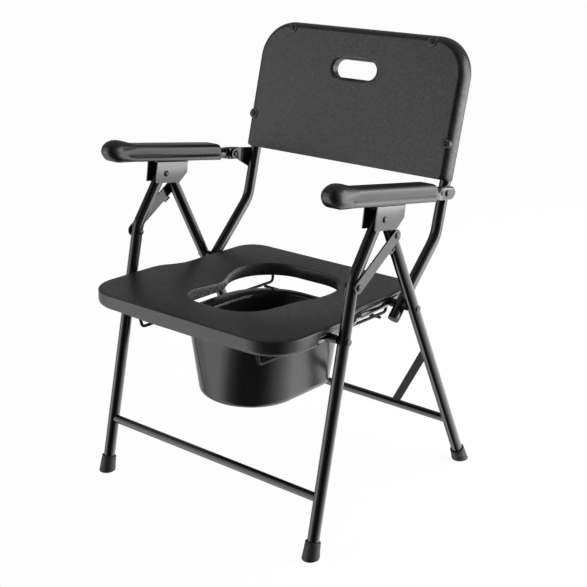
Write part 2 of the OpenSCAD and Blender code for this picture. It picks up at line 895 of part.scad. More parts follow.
module arm_tube(side) {
    color([0.06, 0.06, 0.06])
    on_side(side) difference() {
        in_arm() {
            rod([0, -tab_len, 0], [0, -arm_tube_front, 0], tube_d);
            translate([-tab_t / 2, 0, 0]) rotate([90, 0, 90]) linear_extrude(tab_t) {
                translate([tab_over, 0]) circle(tab_half_h);
                translate([-tab_len - tab_lap, -tab_half_h])
                    square([tab_len + tab_lap + tab_over, 2 * tab_half_h]);
            }
        }
        pin(arm_hinge, tab_in - past, tab_in + tab_t + past, rivet_d + 2 * run_fit);
        in_arm() pad_screw_shanks(screw_d + 2 * seat_fit);
    }
}

// Armrest: rounded bar with a bulb at the front, grooved under for the arm tube
pad_edge_r = 9;
pad_low_r = 3;
pad_end_r = 14;
bulb_edge_r = 10;
bulb_a = pad_front - bulb_h / 2;

module pad_section() {
    half = pad_w / 2;
    translate([-half, pad_bottom + pad_low_r])
        square([pad_w, pad_top - pad_edge_r - pad_bottom - pad_low_r]);
    translate([pad_edge_r - half, pad_bottom + pad_low_r])
        square([pad_w - 2 * pad_edge_r, pad_top - pad_bottom - pad_low_r]);
    translate([pad_low_r - half, pad_bottom])
        square([pad_w - 2 * pad_low_r, pad_top - pad_edge_r - pad_bottom]);
    for (side = [-1, 1]) {
        translate([side * (half - pad_edge_r), pad_top - pad_edge_r]) circle(pad_edge_r);
        translate([side * (half - pad_low_r), pad_bottom + pad_low_r]) circle(pad_low_r);
    }
}

// Side view of the bar, rounded at the rear top
module pad_side() {
    translate([-bulb_a, pad_bottom - past])
        square([bulb_a - pad_rear - pad_end_r, pad_top - pad_bottom + 2 * past]);
    translate([-bulb_a, pad_bottom - past])
        square([bulb_a - pad_rear, pad_top - pad_end_r - pad_bottom + past]);
    translate([-pad_rear - pad_end_r, pad_top - pad_end_r]) circle(pad_end_r);
}

// Bulb: a short roller across the arm with well rounded edges
module bulb() {
    translate([0, -bulb_a, bulb_up]) rotate([0, 90, 0]) rotate_extrude() {
        square_h = bulb_w - 2 * bulb_edge_r;
        translate([0, -square_h / 2]) square([bulb_h / 2, square_h]);
        translate([0, -bulb_w / 2]) square([bulb_h / 2 - bulb_edge_r, bulb_w]);
        for (side = [-1, 1])
            translate([bulb_h / 2 - bulb_edge_r, side * square_h / 2]) circle(bulb_edge_r);
    }
}

module armrest_body() {
    intersection() {
        translate([0, -pad_rear, 0]) rotate([90, 0, 0]) linear_extrude(bulb_a - pad_rear) pad_section();
        translate([-pad_w, 0, 0]) rotate([90, 0, 90]) linear_extrude(2 * pad_w) pad_side();
    }
    bulb();
}

module armrest(side) {
    color([0.07, 0.07, 0.07])
    on_side(side) in_arm() difference() {
        armrest_body();
        rod([0, 0, 0], [0, -arm_tube_front - seat_fit, 0], groove_d);
        translate([-groove_d / 2, -arm_tube_front - seat_fit, pad_bottom - bulb_h])
            cube([groove_d, arm_tube_front, bulb_h - pad_bottom]);
        pad_screw_shanks(screw_d + 2 * seat_fit);
    }
}

module armrest_screws(side) {
    color([0.2, 0.2, 0.2])
    on_side(side) in_arm() {
        pad_screw_shanks(screw_d);
        for (a = pad_screw_spots)
            translate([0, -a, -tube_r - screw_head_t - seat_fit])
                cylinder(d = screw_head_d, h = screw_head_t);
    }
}

// Channel: web under the arm tube and two plates with a cut rear corner
module arm_channel(side) {
    color([0.06, 0.06, 0.06])
    on_side(side) difference() {
        in_arm() {
            translate([-channel_half - sheet_t, -channel_front, channel_top - sheet_t])
                cube([2 * (channel_half + sheet_t), channel_front - channel_rear, sheet_t]);
            for (x = [-channel_half - sheet_t, channel_half])
                translate([x, 0, 0]) rotate([90, 0, 90]) linear_extrude(sheet_t) channel_side();
        }
        pin(arm_pivot, leg_half - 2 * tube_r, leg_half + 2 * tube_r, rivet_d + 2 * seat_fit);
    }
}

module channel_side() {
    low = channel_top - channel_deep;
    cut = 20;
    polygon([[-channel_front, channel_top], [-channel_rear, channel_top], [-channel_rear, low + cut],
             [-channel_rear - cut, low], [-channel_front, low]]);
}

module leg_rivet(side) {
    outer = leg_half + channel_half + sheet_t;
    inner = leg_half - channel_half - sheet_t;
    color([0.2, 0.2, 0.2])
    on_side(side) {
        pin(arm_pivot, inner - head_t, outer + head_t, rivet_d);
        rivet_head(arm_pivot, outer + seat_fit, outer + head_t);
        rivet_head(arm_pivot, inner - head_t, inner - seat_fit);
    }
}

back_tube();
back_panel();
panel_screws();
hinge_ear(1);  // hinge_ear_left
hinge_ear(-1);  // hinge_ear_right
back_tube_plugs();
seat_hinge_bolts();
hinge_spacers();
arm_hinge_rivets();
seat_board();
seat_tube(1);  // seat_tube_left
seat_tube(-1);  // seat_tube_right
seat_screws();
rail(1);  // rail_left
rail(-1);  // rail_right
rail_cross_wire();
front_pivot_bolts();
front_pivot_spacers();
bucket();
front_leg(1);  // front_leg_left
front_leg(-1);  // front_leg_right
front_crossbar();
front_feet(1);  // front_foot_left
front_feet(-1);  // front_foot_right
link_front_rivets();
rear_leg(1);  // rear_leg_left
rear_leg(-1);  // rear_leg_right
rear_crossbar();
rear_brace(1);  // rear_brace_left
rear_brace(-1);  // rear_brace_right
rear_feet(1);  // rear_foot_left
rear_feet(-1);  // rear_foot_right
arm_tube(1);  // arm_tube_left
arm_tube(-1);  // arm_tube_right
armrest(1);  // armrest_left
armrest(-1);  // armrest_right
armrest_screws(1);  // armrest_screws_left
armrest_screws(-1);  // armrest_screws_right
arm_channel(1);  // arm_channel_left
arm_channel(-1);  // arm_channel_right
leg_rivet(1);  // leg_rivet_left
leg_rivet(-1);  // leg_rivet_right
link(1);  // link_left
link(-1);  // link_right
link_rivet(1);  // link_rivet_left
link_rivet(-1);  // link_rivet_right
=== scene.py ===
"""Folding commode chair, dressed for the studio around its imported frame."""

import json
import logging
import math
from dataclasses import dataclass
from enum import Enum

import bpy
from mathutils import Matrix, Vector


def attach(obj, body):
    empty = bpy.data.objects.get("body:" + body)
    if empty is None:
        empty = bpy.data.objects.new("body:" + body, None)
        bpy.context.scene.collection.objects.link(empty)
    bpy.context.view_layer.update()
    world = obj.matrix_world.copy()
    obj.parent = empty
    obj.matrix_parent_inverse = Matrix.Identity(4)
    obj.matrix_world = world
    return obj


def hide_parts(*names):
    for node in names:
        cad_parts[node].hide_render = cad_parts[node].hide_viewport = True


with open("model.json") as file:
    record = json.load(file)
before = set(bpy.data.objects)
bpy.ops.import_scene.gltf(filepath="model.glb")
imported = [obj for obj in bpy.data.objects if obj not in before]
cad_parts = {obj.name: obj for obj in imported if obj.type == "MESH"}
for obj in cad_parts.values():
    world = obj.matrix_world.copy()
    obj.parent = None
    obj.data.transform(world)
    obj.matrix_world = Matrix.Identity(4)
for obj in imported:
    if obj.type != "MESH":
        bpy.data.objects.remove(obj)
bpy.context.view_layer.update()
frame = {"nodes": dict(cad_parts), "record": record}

logging.basicConfig(level=logging.INFO, format="%(message)s")
LOG = logging.getLogger("commode_chair")

# Short names for the types that the pieces are made from
Piece = bpy.types.Object
Ring = list[Vector]
Spot = tuple[float, float]
Outline = list[Spot]
Triple = tuple[float, float, float]

MM = 0.001
# Face attribute that marks where the seat opening's wall gets a painted reflection
PAINTED_REFLECTION_WALL = "painted_reflection_wall"
# Place of the seat hinge in millimetres: most sizes are set out from it
HINGE_Y = 67.85
HINGE_Z = 380.0


class Side(Enum):
    """Side of the chair, seen by the sitter."""

    LEFT = 1
    RIGHT = -1

    @property
    def word(self) -> str:
        """Ending of the node names on this side."""
        return self.name.lower()


def linear(hex_colour: str) -> tuple[float, float, float, float]:
    """Turns an sRGB hex colour into linear light.

    Args:
        hex_colour: colour written as six hex digits.

    Returns:
        Red, green, blue and alpha for a node socket.
    """
    shades = [int(hex_colour[i:i + 2], 16) / 255 for i in (0, 2, 4)]
    light = [s / 12.92 if s <= 0.04045 else ((s + 0.055) / 1.055) ** 2.4 for s in shades]
    return (light[0], light[1], light[2], 1.0)


def add_node(tree: bpy.types.NodeTree, kind: str, links: dict[str | int, object] | None = None,
             **settings: object) -> bpy.types.Node:
    """Adds a node with its settings and links.

    Args:
        tree: node tree to add to.
        kind: node type name.
        links: socket name or number to a value or to the output socket that feeds it.
        settings: attributes of the node itself.

    Returns:
        The new node.
    """
    node = tree.nodes.new(kind)
    for name, value in settings.items():
        setattr(node, name, value)
    for name, value in (links or {}).items():
        if isinstance(value, bpy.types.NodeSocket):
            tree.links.new(value, node.inputs[name])
        else:
            node.inputs[name].default_value = value
    return node


@dataclass(frozen=True)
class Finish:
    """A black surface: two close shades that drift, fine grit in the gloss and a soft bump, and where asked
    a painted reflection on marked faces.
    """

    name: str
    slot: str
    shade: str
    drift_shade: str
    roughness: float
    roughness_spread: float
    grit_mm: float
    bump_mm: float
    drift_mm: float = 60.0
    specular: float = 0.5
    coat: float = 0.0
    wall_reflection_shade: str = ""

    def material(self) -> bpy.types.Material:
        """Builds the node material of this finish.

        Returns:
            The material, the same one at every call.
        """
        found = bpy.data.materials.get(self.name)
        if found:
            return found
        material = bpy.data.materials.new(self.name)
        material.use_nodes = True
        tree = material.node_tree
        tree.nodes.clear()
        place = add_node(tree, "ShaderNodeTexCoord").outputs["Object"]
        drift = add_node(tree, "ShaderNodeTexNoise", {
            "Vector": place, "Scale": 1 / (self.drift_mm * MM), "Detail": 3.0})
        grit = add_node(tree, "ShaderNodeTexNoise", {
            "Vector": place, "Scale": 1 / (self.grit_mm * MM), "Detail": 2.0})
        tones = add_node(tree, "ShaderNodeValToRGB", {"Fac": drift.outputs["Fac"]})
        for stop, spot, tone in zip(tones.color_ramp.elements, (0.3, 0.7), (self.shade, self.drift_shade)):
            stop.position = spot
            stop.color = linear(tone)
        colour = tones.outputs["Color"]
        # Painted reflection: marked faces of an opening's wall take a paler, flecked colour in place of the
        # white floor's light
        if self.wall_reflection_shade:
            wall = add_node(tree, "ShaderNodeAttribute", attribute_name=PAINTED_REFLECTION_WALL)
            reflection_flecks = add_node(tree, "ShaderNodeMapRange", {
                "Value": grit.outputs["Fac"], "From Min": 0.35, "From Max": 0.65, "To Min": 0.3,
                "To Max": 1.0})
            share = add_node(tree, "ShaderNodeMath", {
                0: wall.outputs["Fac"], 1: reflection_flecks.outputs["Result"]}, operation="MULTIPLY")
            pale = add_node(tree, "ShaderNodeMixRGB", {
                "Fac": share.outputs[0], "Color1": colour, "Color2": linear(self.wall_reflection_shade)})
            colour = pale.outputs["Color"]
        gloss = add_node(tree, "ShaderNodeMapRange", {
            "Value": grit.outputs["Fac"], "From Min": 0.25, "From Max": 0.75,
            "To Min": self.roughness - self.roughness_spread,
            "To Max": self.roughness + self.roughness_spread})
        bump = add_node(tree, "ShaderNodeBump", {
            "Height": grit.outputs["Fac"], "Strength": 0.5, "Distance": self.bump_mm * MM})
        shader = add_node(tree, "ShaderNodeBsdfPrincipled", {
            "Base Color": colour, "Roughness": gloss.outputs["Result"],
            "Normal": bump.outputs["Normal"], "Specular IOR Level": self.specular,
            "Coat Weight": self.coat, "Coat Roughness": self.roughness})
        add_node(tree, "ShaderNodeOutputMaterial", {"Surface": shader.outputs["BSDF"]})
        return material


# Semi-gloss black powder coat on steel: slight orange peel, dark core with grey highlights
POWDER_COAT = Finish("black_powder_coat", "frame", "0f0f10", "131314", roughness=0.15,
                     roughness_spread=0.02, grit_mm=3.0, bump_mm=0.004, coat=0.2)
# Duller, a shade darker copy of the frame's powder coat on the wire rails and the flat braces: painted
# shade for parts that sit in the chair's shade, and it hardly shines
SHADED_DULL_COAT = Finish("dull_black_shaded_coat", "frame", "0e0e0f", "121213", roughness=0.55,
                  roughness_spread=0.05, grit_mm=2.0, bump_mm=0.02, specular=0.2)
# Blow-moulded polyethylene with a spark texture, matte with a faint mottle: the grain is drawn coarser than
# its 1.5 mm so that it shows. The wall of an opening gets a paler, flecked colour, which is a painted
# reflection of the white floor and not the plastic's own colour
MOULDED_BOARD = Finish("textured_black_polyethylene", "moulding", "141415", "1e1e1f", roughness=0.36,
                       roughness_spread=0.09, grit_mm=5.0, bump_mm=0.16, drift_mm=24.0,
                       wall_reflection_shade="6a6a6b")
# Moulded armrest plastic: satin skin with soft highlights
ARMREST_SKIN = Finish("satin_black_armrest_plastic", "armrest", "151516", "19191a", roughness=0.34,
                      roughness_spread=0.04, grit_mm=1.4, bump_mm=0.02)
# Polished polypropylene bucket: glossy, reflects the legs
BUCKET_GLOSS = Finish("glossy_black_polypropylene", "bucket", "1a1a1b", "1e1e1f", roughness=0.15,
                      roughness_spread=0.03, grit_mm=6.0, bump_mm=0.03, specular=0.29, coat=0.05)
# Moulded rubber feet: dull, a little grey with dust
FOOT_RUBBER = Finish("dull_black_rubber", "rubber", "1b1b1c", "222223", roughness=0.55,
                     roughness_spread=0.06, grit_mm=1.2, bump_mm=0.08)
# Moulded nylon plugs and spacers: an even, half-matte skin
BLACK_NYLON = Finish("black_nylon", "nylon", "151516", "1a1a1b", roughness=0.42,
                     roughness_spread=0.05, grit_mm=1.5, bump_mm=0.04)
# Blackened steel screws and rivets: an oxide skin with small soft highlights
BLACK_STEEL = Finish("blackened_steel", "fastener", "18181a", "202022", roughness=0.32,
                     roughness_spread=0.06, grit_mm=1.0, bump_mm=0.03)

SLOT_FINISH = {finish.slot: finish for finish in (
    POWDER_COAT, MOULDED_BOARD, ARMREST_SKIN, BUCKET_GLOSS, FOOT_RUBBER, BLACK_NYLON, BLACK_STEEL)}
# Parts in the chair's shade get the duller, darker coat as painted shade
NODE_FINISH = {node: SHADED_DULL_COAT for node in (
    "rail_left", "rail_right", "rail_cross_wire", "rear_brace_left", "rear_brace_right")}


def dress_frame() -> None:
    """Gives every CAD node its own finish or else the finish of its material slot."""
    for part in frame["record"]["subparts"]:
        node = frame["nodes"][part["node"]]
        finish = NODE_FINISH.get(part["node"], SLOT_FINISH[part["material_slot"]])
        node.data.materials.clear()
        node.data.materials.append(finish.material())
        LOG.info("dressed %s with %s", part["node"], finish.name)


@dataclass(frozen=True)
class Tilt:
    """A frame tilted about the width axis, set out in millimetres from the seat hinge."""

    y: float
    z: float
    degrees: float

    def put(self, x: float, y: float, z: float) -> Vector:
        """Turns a place in this frame into a place in the scene.

        Args:
            x: place across the chair, the sitter's left positive.
            y: place along the frame, toward the rear.
            z: place across the frame, upward.

        Returns:
            The place in metres.
        """
        turn = math.radians(self.degrees)
        along = y * math.cos(turn) + z * math.sin(turn)
        above = z * math.cos(turn) - y * math.sin(turn)
        return Vector((x, HINGE_Y + self.y + along, HINGE_Z + self.z + above)) * MM

    def find(self, place: Vector) -> Triple:
        """Turns a place in the scene into a place in this frame, the other way round."""
        turn = math.radians(self.degrees)
        along, above = place.y / MM - HINGE_Y - self.y, place.z / MM - HINGE_Z - self.z
        return (place.x / MM, along * math.cos(turn) - above * math.sin(turn),
                above * math.cos(turn) + along * math.sin(turn))


# Side-view places of the pivots, toward the rear and up from the seat hinge
PIVOT_AHEAD = 208.0
LINK_UP = 93.0
SEAT_HINGE = (0.0, 0.0)
FRONT_PIVOT = (-PIVOT_AHEAD, 0.0)
ARM_HINGE = (95.0, 196.0)
ARM_PIVOT = (ARM_HINGE[0] - PIVOT_AHEAD, ARM_HINGE[1])
# Leg axes: place across the chair, places on the floor, run of the front leg for each unit of rise
LEG_HALF = 263.0
FRONT_FOOT_Y = -302.0
FRONT_LEAN = (-FRONT_FOOT_Y - PIVOT_AHEAD) / HINGE_Z
REAR_FOOT_Y = 182.0
# Link bars: their pivots and their two faces across the chair
LINK_FRONT = (LINK_UP * FRONT_LEAN - PIVOT_AHEAD, LINK_UP)
LINK_REAR = (-76.025, 158.735)
LINK_INNER = 274.5
LINK_OUTER = 277.5
# Tilted frames of the sub-assemblies
UPRIGHT = Tilt(0.0, 0.0, 0.0)
SEAT = Tilt(0.0, 0.0, 2.0)
BACK = Tilt(108.99, 103.06, 15.9)
ARM = Tilt(*ARM_HINGE, 10.0)


def arc(centre: Spot, radius: float, start: float, end: float, steps: int = 16) -> Outline:
    """Points of an arc.

    Args:
        centre: middle of the arc.
        radius: its radius.
        start: first angle in degrees.
        end: last angle in degrees.
        steps: number of chords.

    Returns:
        The points, both ends included.
    """
    turns = [math.radians(start + (end - start) * i / steps) for i in range(steps + 1)]
    return [(centre[0] + radius * math.cos(t), centre[1] + radius * math.sin(t)) for t in turns]


def sway(first: Spot, last: Spot) -> Outline:
    """S-shaped run between two lines along y, as two equal arcs.

    Args:
        first: start of the run.
        last: end of the run.

    Returns:
        The points of both arcs.
    """
    turn = 2 * math.degrees(math.atan(abs(last[0] - first[0]) / (last[1] - first[1])))
    radius = (last[1] - first[1]) / (2 * math.sin(math.radians(turn)))
    if last[0] < first[0]:
        return (arc((first[0] - radius, first[1]), radius, 0, turn, 8)
                + arc((last[0] + radius, last[1]), radius, 180 + turn, 180, 8))
    return (arc((first[0] + radius, first[1]), radius, 180, 180 - turn, 8)
            + arc((last[0] - radius, last[1]), radius, -turn, 0, 8))


def with_mirror(half: Outline) -> Outline:
    """Closes a right-hand half outline with its mirror image."""
    return half + [(-x, y) for x, y in reversed(half)]


def rounded_box(half_w: float, half_d: float, radius: float, steps: int = 14) -> Outline:
    """Rectangle with rounded corners about the origin.

    Args:
        half_w: half its width.
        half_d: half its depth.
        radius: corner radius.
        steps: chords in each corner.

    Returns:
        The closed outline, counter-clockwise.
    """
    w, d = half_w - radius, half_d - radius
    return (arc((w, d), radius, 0, 90, steps) + arc((-w, d), radius, 90, 180, steps)
            + arc((-w, -d), radius, 180, 270, steps) + arc((w, -d), radius, 270, 360, steps))


def reach(outline: Outline, centre: Spot, angle: float) -> float:
    """Distance from a centre to an outline along a ray.

    Args:
        outline: closed outline around the centre.
        centre: where the ray starts.
        angle: direction of the ray in radians.

    Returns:
        The farthest crossing.
    """
    dx, dy = math.cos(angle), math.sin(angle)
    best = 0.0
    for (ax, ay), (bx, by) in zip(outline, outline[1:] + outline[:1]):
        ex, ey = bx - ax, by - ay
        cross = dx * ey - dy * ex
        if abs(cross) < 1e-12:
            continue
        px, py = ax - centre[0], ay - centre[1]
        along = (px * dy - py * dx) / cross
        if -1e-9 <= along <= 1 + 1e-9:
            best = max(best, (px * ey - py * ex) / cross)
    return best


def ease(t: float) -> float:
    """Smooth step from 0 to 1."""
    t = min(max(t, 0.0), 1.0)
    return t * t * (3 - 2 * t)


def between(first: float, last: float, share: float) -> float:
    """Value at a share of the way from the first to the last."""
    return first + (last - first) * share


def rings_of(columns: list[Ring]) -> list[Ring]:
    """Turns sections that stand side by side into the rings that run through them."""
    return [list(ring) for ring in zip(*columns)]


def skin(name: str, rings: list[Ring], closed: bool = False,
         smooth_deg: float = 38.0) -> Piece:
    """Skins a stack of closed rings into a solid.

    A grid primitive has one row for each ring. Its points go onto the rings, its seam is merged
    and open ends are filled.

    Args:
        name: name of the piece.
        rings: rings of equally many places, in order.
        closed: whether the last ring joins the first one.
        smooth_deg: edges sharper than this stay sharp.

    Returns:
        The new object.
    """
    around = len(rings[0])
    stack = rings + [rings[0]] if closed else rings
    bpy.ops.object.select_all(action="DESELECT")
    bpy.ops.mesh.primitive_grid_add(x_subdivisions=around, y_subdivisions=len(stack) - 1, size=1)
    piece = bpy.context.active_object
    piece.name = name
    piece.data.name = name
    places = [ring[i % around] for ring in stack for i in range(around + 1)]
    piece.data.vertices.foreach_set("co", [value for place in places for value in place])
    bpy.ops.object.mode_set(mode="EDIT")
    bpy.ops.mesh.select_all(action="SELECT")
    bpy.ops.mesh.remove_doubles(threshold=2e-6)
    bpy.ops.mesh.dissolve_degenerate(threshold=1e-6)
    bpy.ops.mesh.select_all(action="SELECT")
    if not closed:
        bpy.ops.mesh.fill_holes(sides=0)
        bpy.ops.mesh.select_all(action="SELECT")
    bpy.ops.mesh.normals_make_consistent(inside=False)
    bpy.ops.object.mode_set(mode="OBJECT")
    bpy.ops.object.shade_smooth_by_angle(angle=math.radians(smooth_deg))
    return piece


def joined(name: str, pieces: list[Piece]) -> Piece:
    """Joins solids into one piece.

    Args:
        name: name of the piece.
        pieces: solids to join, the first one keeps its materials.

    Returns:
        The joined object.
    """
    bpy.ops.object.select_all(action="DESELECT")
    for piece in pieces:
        piece.select_set(True)
    bpy.context.view_layer.objects.active = pieces[0]
    if len(pieces) > 1:
        bpy.ops.object.join()
    pieces[0].name = name
    pieces[0].data.name = name
    return pieces[0]


def cut(piece: Piece, cutter: Piece) -> None:
    """Cuts one solid out of another and removes the cutter.

    Args:
        piece: solid to cut.
        cutter: solid to take away.
    """
    bpy.ops.object.select_all(action="DESELECT")
    bpy.context.view_layer.objects.active = piece
    piece.select_set(True)
    modifier = piece.modifiers.new("cut", "BOOLEAN")
    modifier.operation = "DIFFERENCE"
    modifier.solver = "EXACT"
    modifier.object = cutter
    bpy.ops.object.modifier_apply(modifier=modifier.name)
    bpy.data.objects.remove(cutter, do_unlink=True)


def settle(piece: Piece, body: str, finish: Finish, *nodes: str) -> None:
    """Dresses a finished piece and puts it in place of its CAD nodes.

    Args:
        piece: the finished piece.
        body: body that it moves with.
        finish: its surface.
        nodes: CAD nodes that it stands for.
    """
    piece.data.materials.clear()
    piece.data.materials.append(finish.material())
    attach(piece, body)
    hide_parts(*nodes)
    LOG.info("built %s for %s, %d faces", piece.name, ", ".join(nodes), len(piece.data.polygons))


def turned(name: str, place: Spot, profile: Outline, mirror: int = 1, sides: int = 0,
           around: int = 32) -> Piece:
    """Turns a profile round an axis across the chair.

    Args:
        name: name of the piece.
        place: side-view place of the axis, from the seat hinge.
        profile: places across the chair with their radii.
        mirror: 1 for the sitter's left, -1 for the right.
        sides: flats of a nut or 0 for a round piece.
        around: points round the axis.

    Returns:
        The new object.
    """
    rings = []
    for x, radius in profile:
        ring = []
        for i in range(around):
            turn = 2 * math.pi * i / around
            swell = 1.0
            if sides:
                half = math.pi / sides
                swell = math.cos(half) / math.cos((turn % (2 * half)) - half)
            ring.append(UPRIGHT.put(mirror * x, place[0] + swell * radius * math.cos(turn),
                                    place[1] + swell * radius * math.sin(turn)))
        rings.append(ring)
    return skin(name, rings, smooth_deg=30.0)


def dome(start: float, radius: float, height: float) -> Outline:
    """Profile of a domed head standing outward on a face across the chair.

    Args:
        start: place of the face.
        radius: radius of the head.
        height: height of the head, negative to stand inward.

    Returns:
        Profile for a turned piece.
    """
    shape = ((0.0, 0.97), (0.18, 1.0), (0.42, 0.96), (0.68, 0.8), (0.88, 0.5), (0.97, 0.24), (1.0, 0.02))
    return [(start + height * up, radius * out) for up, out in shape]


@dataclass
class BackRest:
    """Moulded back panel with its hand hole, bosses and screws."""

    bar: float = 356.0
    half_w: float = 248.2
    low: float = 107.0
    high: float = 369.2
    top_corner: float = 75.0
    low_corner: float = 3.0
    front: float = -24.0
    rear: float = -11.1
    wrap: float = 13.2
    wrap_inner: float = 11.1
    wrap_rear: float = 3.0
    hole_w: float = 105.0
    hole_h: float = 36.0
    hole_down: float = 68.0
    hole_rim: float = 2.5
    hole_rim_deep: float = 1.6
    hole_collar: float = -6.0
    flat_from: float = 6.0
    boss_r: float = 10.5
    boss_t: float = 1.6
    boss_seat: float = 0.5
    screw_r: float = 5.0
    screw_t: float = 2.5
    recess_half: float = 2.9
    recess_half_t: float = 0.65
    recess_deep: float = 1.3
    top_screw_x: float = 168.0
    side_screw_x: float = 235.0
    side_screw_up: float = 174.0
    rays: int = 180

    @property
    def screw_spots(self) -> Outline:
        """Places of the four screws, across and up the back."""
        spots = ((self.top_screw_x, self.bar), (self.side_screw_x, self.side_screw_up))
        return [(side.value * x, up) for side in Side for x, up in spots]

    @property
    def hole_up(self) -> float:
        """Height of the hand hole's middle."""
        return self.bar - self.hole_down

    def hole(self, grow: float = 0.0) -> Outline:
        """Edge of the hand hole, grown by a distance."""
        half_h = self.hole_h / 2 + grow
        return [(x, y + self.hole_up) for x, y in rounded_box(self.hole_w / 2 + grow, half_h, half_h)]

    def outline(self, inset: float = 0.0) -> Outline:
        """Edge of the panel, across and up the back.

        Args:
            inset: distance inside the outer edge at the sides and the top.

        Returns:
            The closed outline.
        """
        half_w, high = self.half_w - inset, self.high - inset
        top, low = self.top_corner - inset, self.low_corner
        half = (arc((half_w - low, self.low + low), low, -90, 0, 4)
                + arc((half_w - top, high - top), top, 0, 90, 28))
        return with_mirror(half)

    def section(self, hole: float, brim: float, bend: float, edge: float) -> Outline:
        """Section of the panel along a ray from the hand hole.

        Args:
            hole: distance to the edge of the hole.
            brim: distance to the edge of the sunk rim round the hole.
            bend: distance to the tube axis, the same as the edge along the bottom.
            edge: distance to the outer edge.

        Returns:
            Distances with depths, as a closed loop.
        """
        face = self.front
        sunk = face + self.hole_rim_deep
        flat = brim + self.flat_from
        # Collar of the hole, sunk rim and plain face, with small steps round each edge
        points = [(hole + 4, self.rear), (hole + 2.4, self.hole_collar), (hole, self.hole_collar),
                  (hole, sunk + 1.2), (hole + 0.4, sunk + 0.35), (hole + 1.2, sunk), (brim - 0.4, sunk),
                  (brim, sunk - 0.4), (brim + 0.3, face + 0.5), (brim + 1.0, face), (flat, face)]
        points += [(flat + (bend - 1 - flat) * i / 4, face) for i in range(1, 5)]
        # Edge wrapped round the tube: outside, open rear, inside
        turns = [math.radians(a) for a in range(0, 91, 9)]
        rim = [(self.wrap * (1 - math.sin(t)), face + (1 - math.cos(t)) * (-face - 2)) for t in turns]
        rim += [(0.0, self.wrap_rear - 0.6), (0.6, self.wrap_rear),
                (self.wrap - self.wrap_inner, self.wrap_rear)]
        rim += [(self.wrap - self.wrap_inner * math.cos(t), -self.wrap_inner * math.sin(t))
                for t in turns[::2]]
        plain = edge - bend < 0.5
        for inset, depth in rim:
            spot = edge - (edge - bend) * inset / self.wrap
            points.append((spot, min(depth, self.rear)) if plain else (spot, depth))
        return points + [(bend - 12, self.rear)]

    def boss(self, spot: Spot) -> Piece:
        """Round boss with a shallow seat for its screw.

        Args:
            spot: place of the screw.

        Returns:
            The boss.
        """
        face = self.front - self.boss_t
        seat = face + self.boss_seat
        profile = [(self.rear, self.boss_r - 0.3), (face + 1.4, self.boss_r),
                   (face + 0.6, self.boss_r - 0.25), (face + 0.15, self.boss_r - 0.9),
                   (face, self.boss_r - 1.8), (face, self.screw_r + 0.8), (seat, self.screw_r + 0.3),
                   (seat, 0.3)]
        return self.round_piece("panel_boss", spot, profile)

    def round_piece(self, name: str, spot: Spot, profile: Outline) -> Piece:
        """Turns a profile of depths and radii round a screw axis.

        Args:
            name: name of the piece.
            spot: place of the axis, across and up the back.
            profile: depths with radii.

        Returns:
            The turned piece.
        """
        turns = [2 * math.pi * i / 36 for i in range(36)]
        rings = [[BACK.put(spot[0] + r * math.cos(t), depth, spot[1] + r * math.sin(t)) for t in turns]
                 for depth, r in profile]
        return skin(name, rings)

    def build_panel(self) -> None:
        """Builds the panel with its bosses."""
        hole, brim = self.hole(), self.hole(self.hole_rim)
        edge, bend = self.outline(), self.outline(self.wrap)
        full = 2 * math.pi
        angles = sorted({round(math.atan2(y - self.hole_up, x) % full, 6)
                         for line in (hole, edge) for x, y in line}
                        | {round(full * i / self.rays, 6) for i in range(self.rays)})
        columns = []
        for angle in angles:
            spans = (reach(line, (0.0, self.hole_up), angle) for line in (hole, brim, bend, edge))
            columns.append([BACK.put(r * math.cos(angle), depth, self.hole_up + r * math.sin(angle))
                            for r, depth in self.section(*spans)])
        panel = skin("back_panel_moulding", rings_of(columns), closed=True, smooth_deg=50.0)
        panel = joined("back_panel_moulding", [panel] + [self.boss(spot) for spot in self.screw_spots])
        settle(panel, "back_frame", MOULDED_BOARD, "back_panel")

    def build_screws(self) -> None:
        """Builds the four pan-head screws with a cross recess."""
        seat = self.front - self.boss_t + self.boss_seat
        top = seat - self.screw_t - 0.5
        profile = [(seat, 2.5), (seat, self.screw_r - 0.2), (seat - 0.5, self.screw_r),
                   (seat - 1.2, self.screw_r - 0.1), (seat - 2.0, 4.2), (seat - 2.6, 2.9), (top, 1.2),
                   (top, 0.2)]
        corners = ((-1, -1), (1, -1), (1, 1), (-1, 1))
        heads = []
        for x, up in self.screw_spots:
            head = self.round_piece("panel_screw", (x, up), profile)
            for across, tall in ((self.recess_half, self.recess_half_t),
                                 (self.recess_half_t, self.recess_half)):
                slot = [[BACK.put(x + i * across, depth, up + j * tall) for i, j in corners]
                        for depth in (top - 1, top + self.recess_deep)]
                cut(head, skin("recess", slot))
            heads.append(head)
        screws = joined("panel_screw_heads", heads)
        settle(screws, "back_frame", BLACK_STEEL, "panel_screws")

    def build(self) -> None:
        """Builds the panel and its screws."""
        self.build_panel()
        self.build_screws()


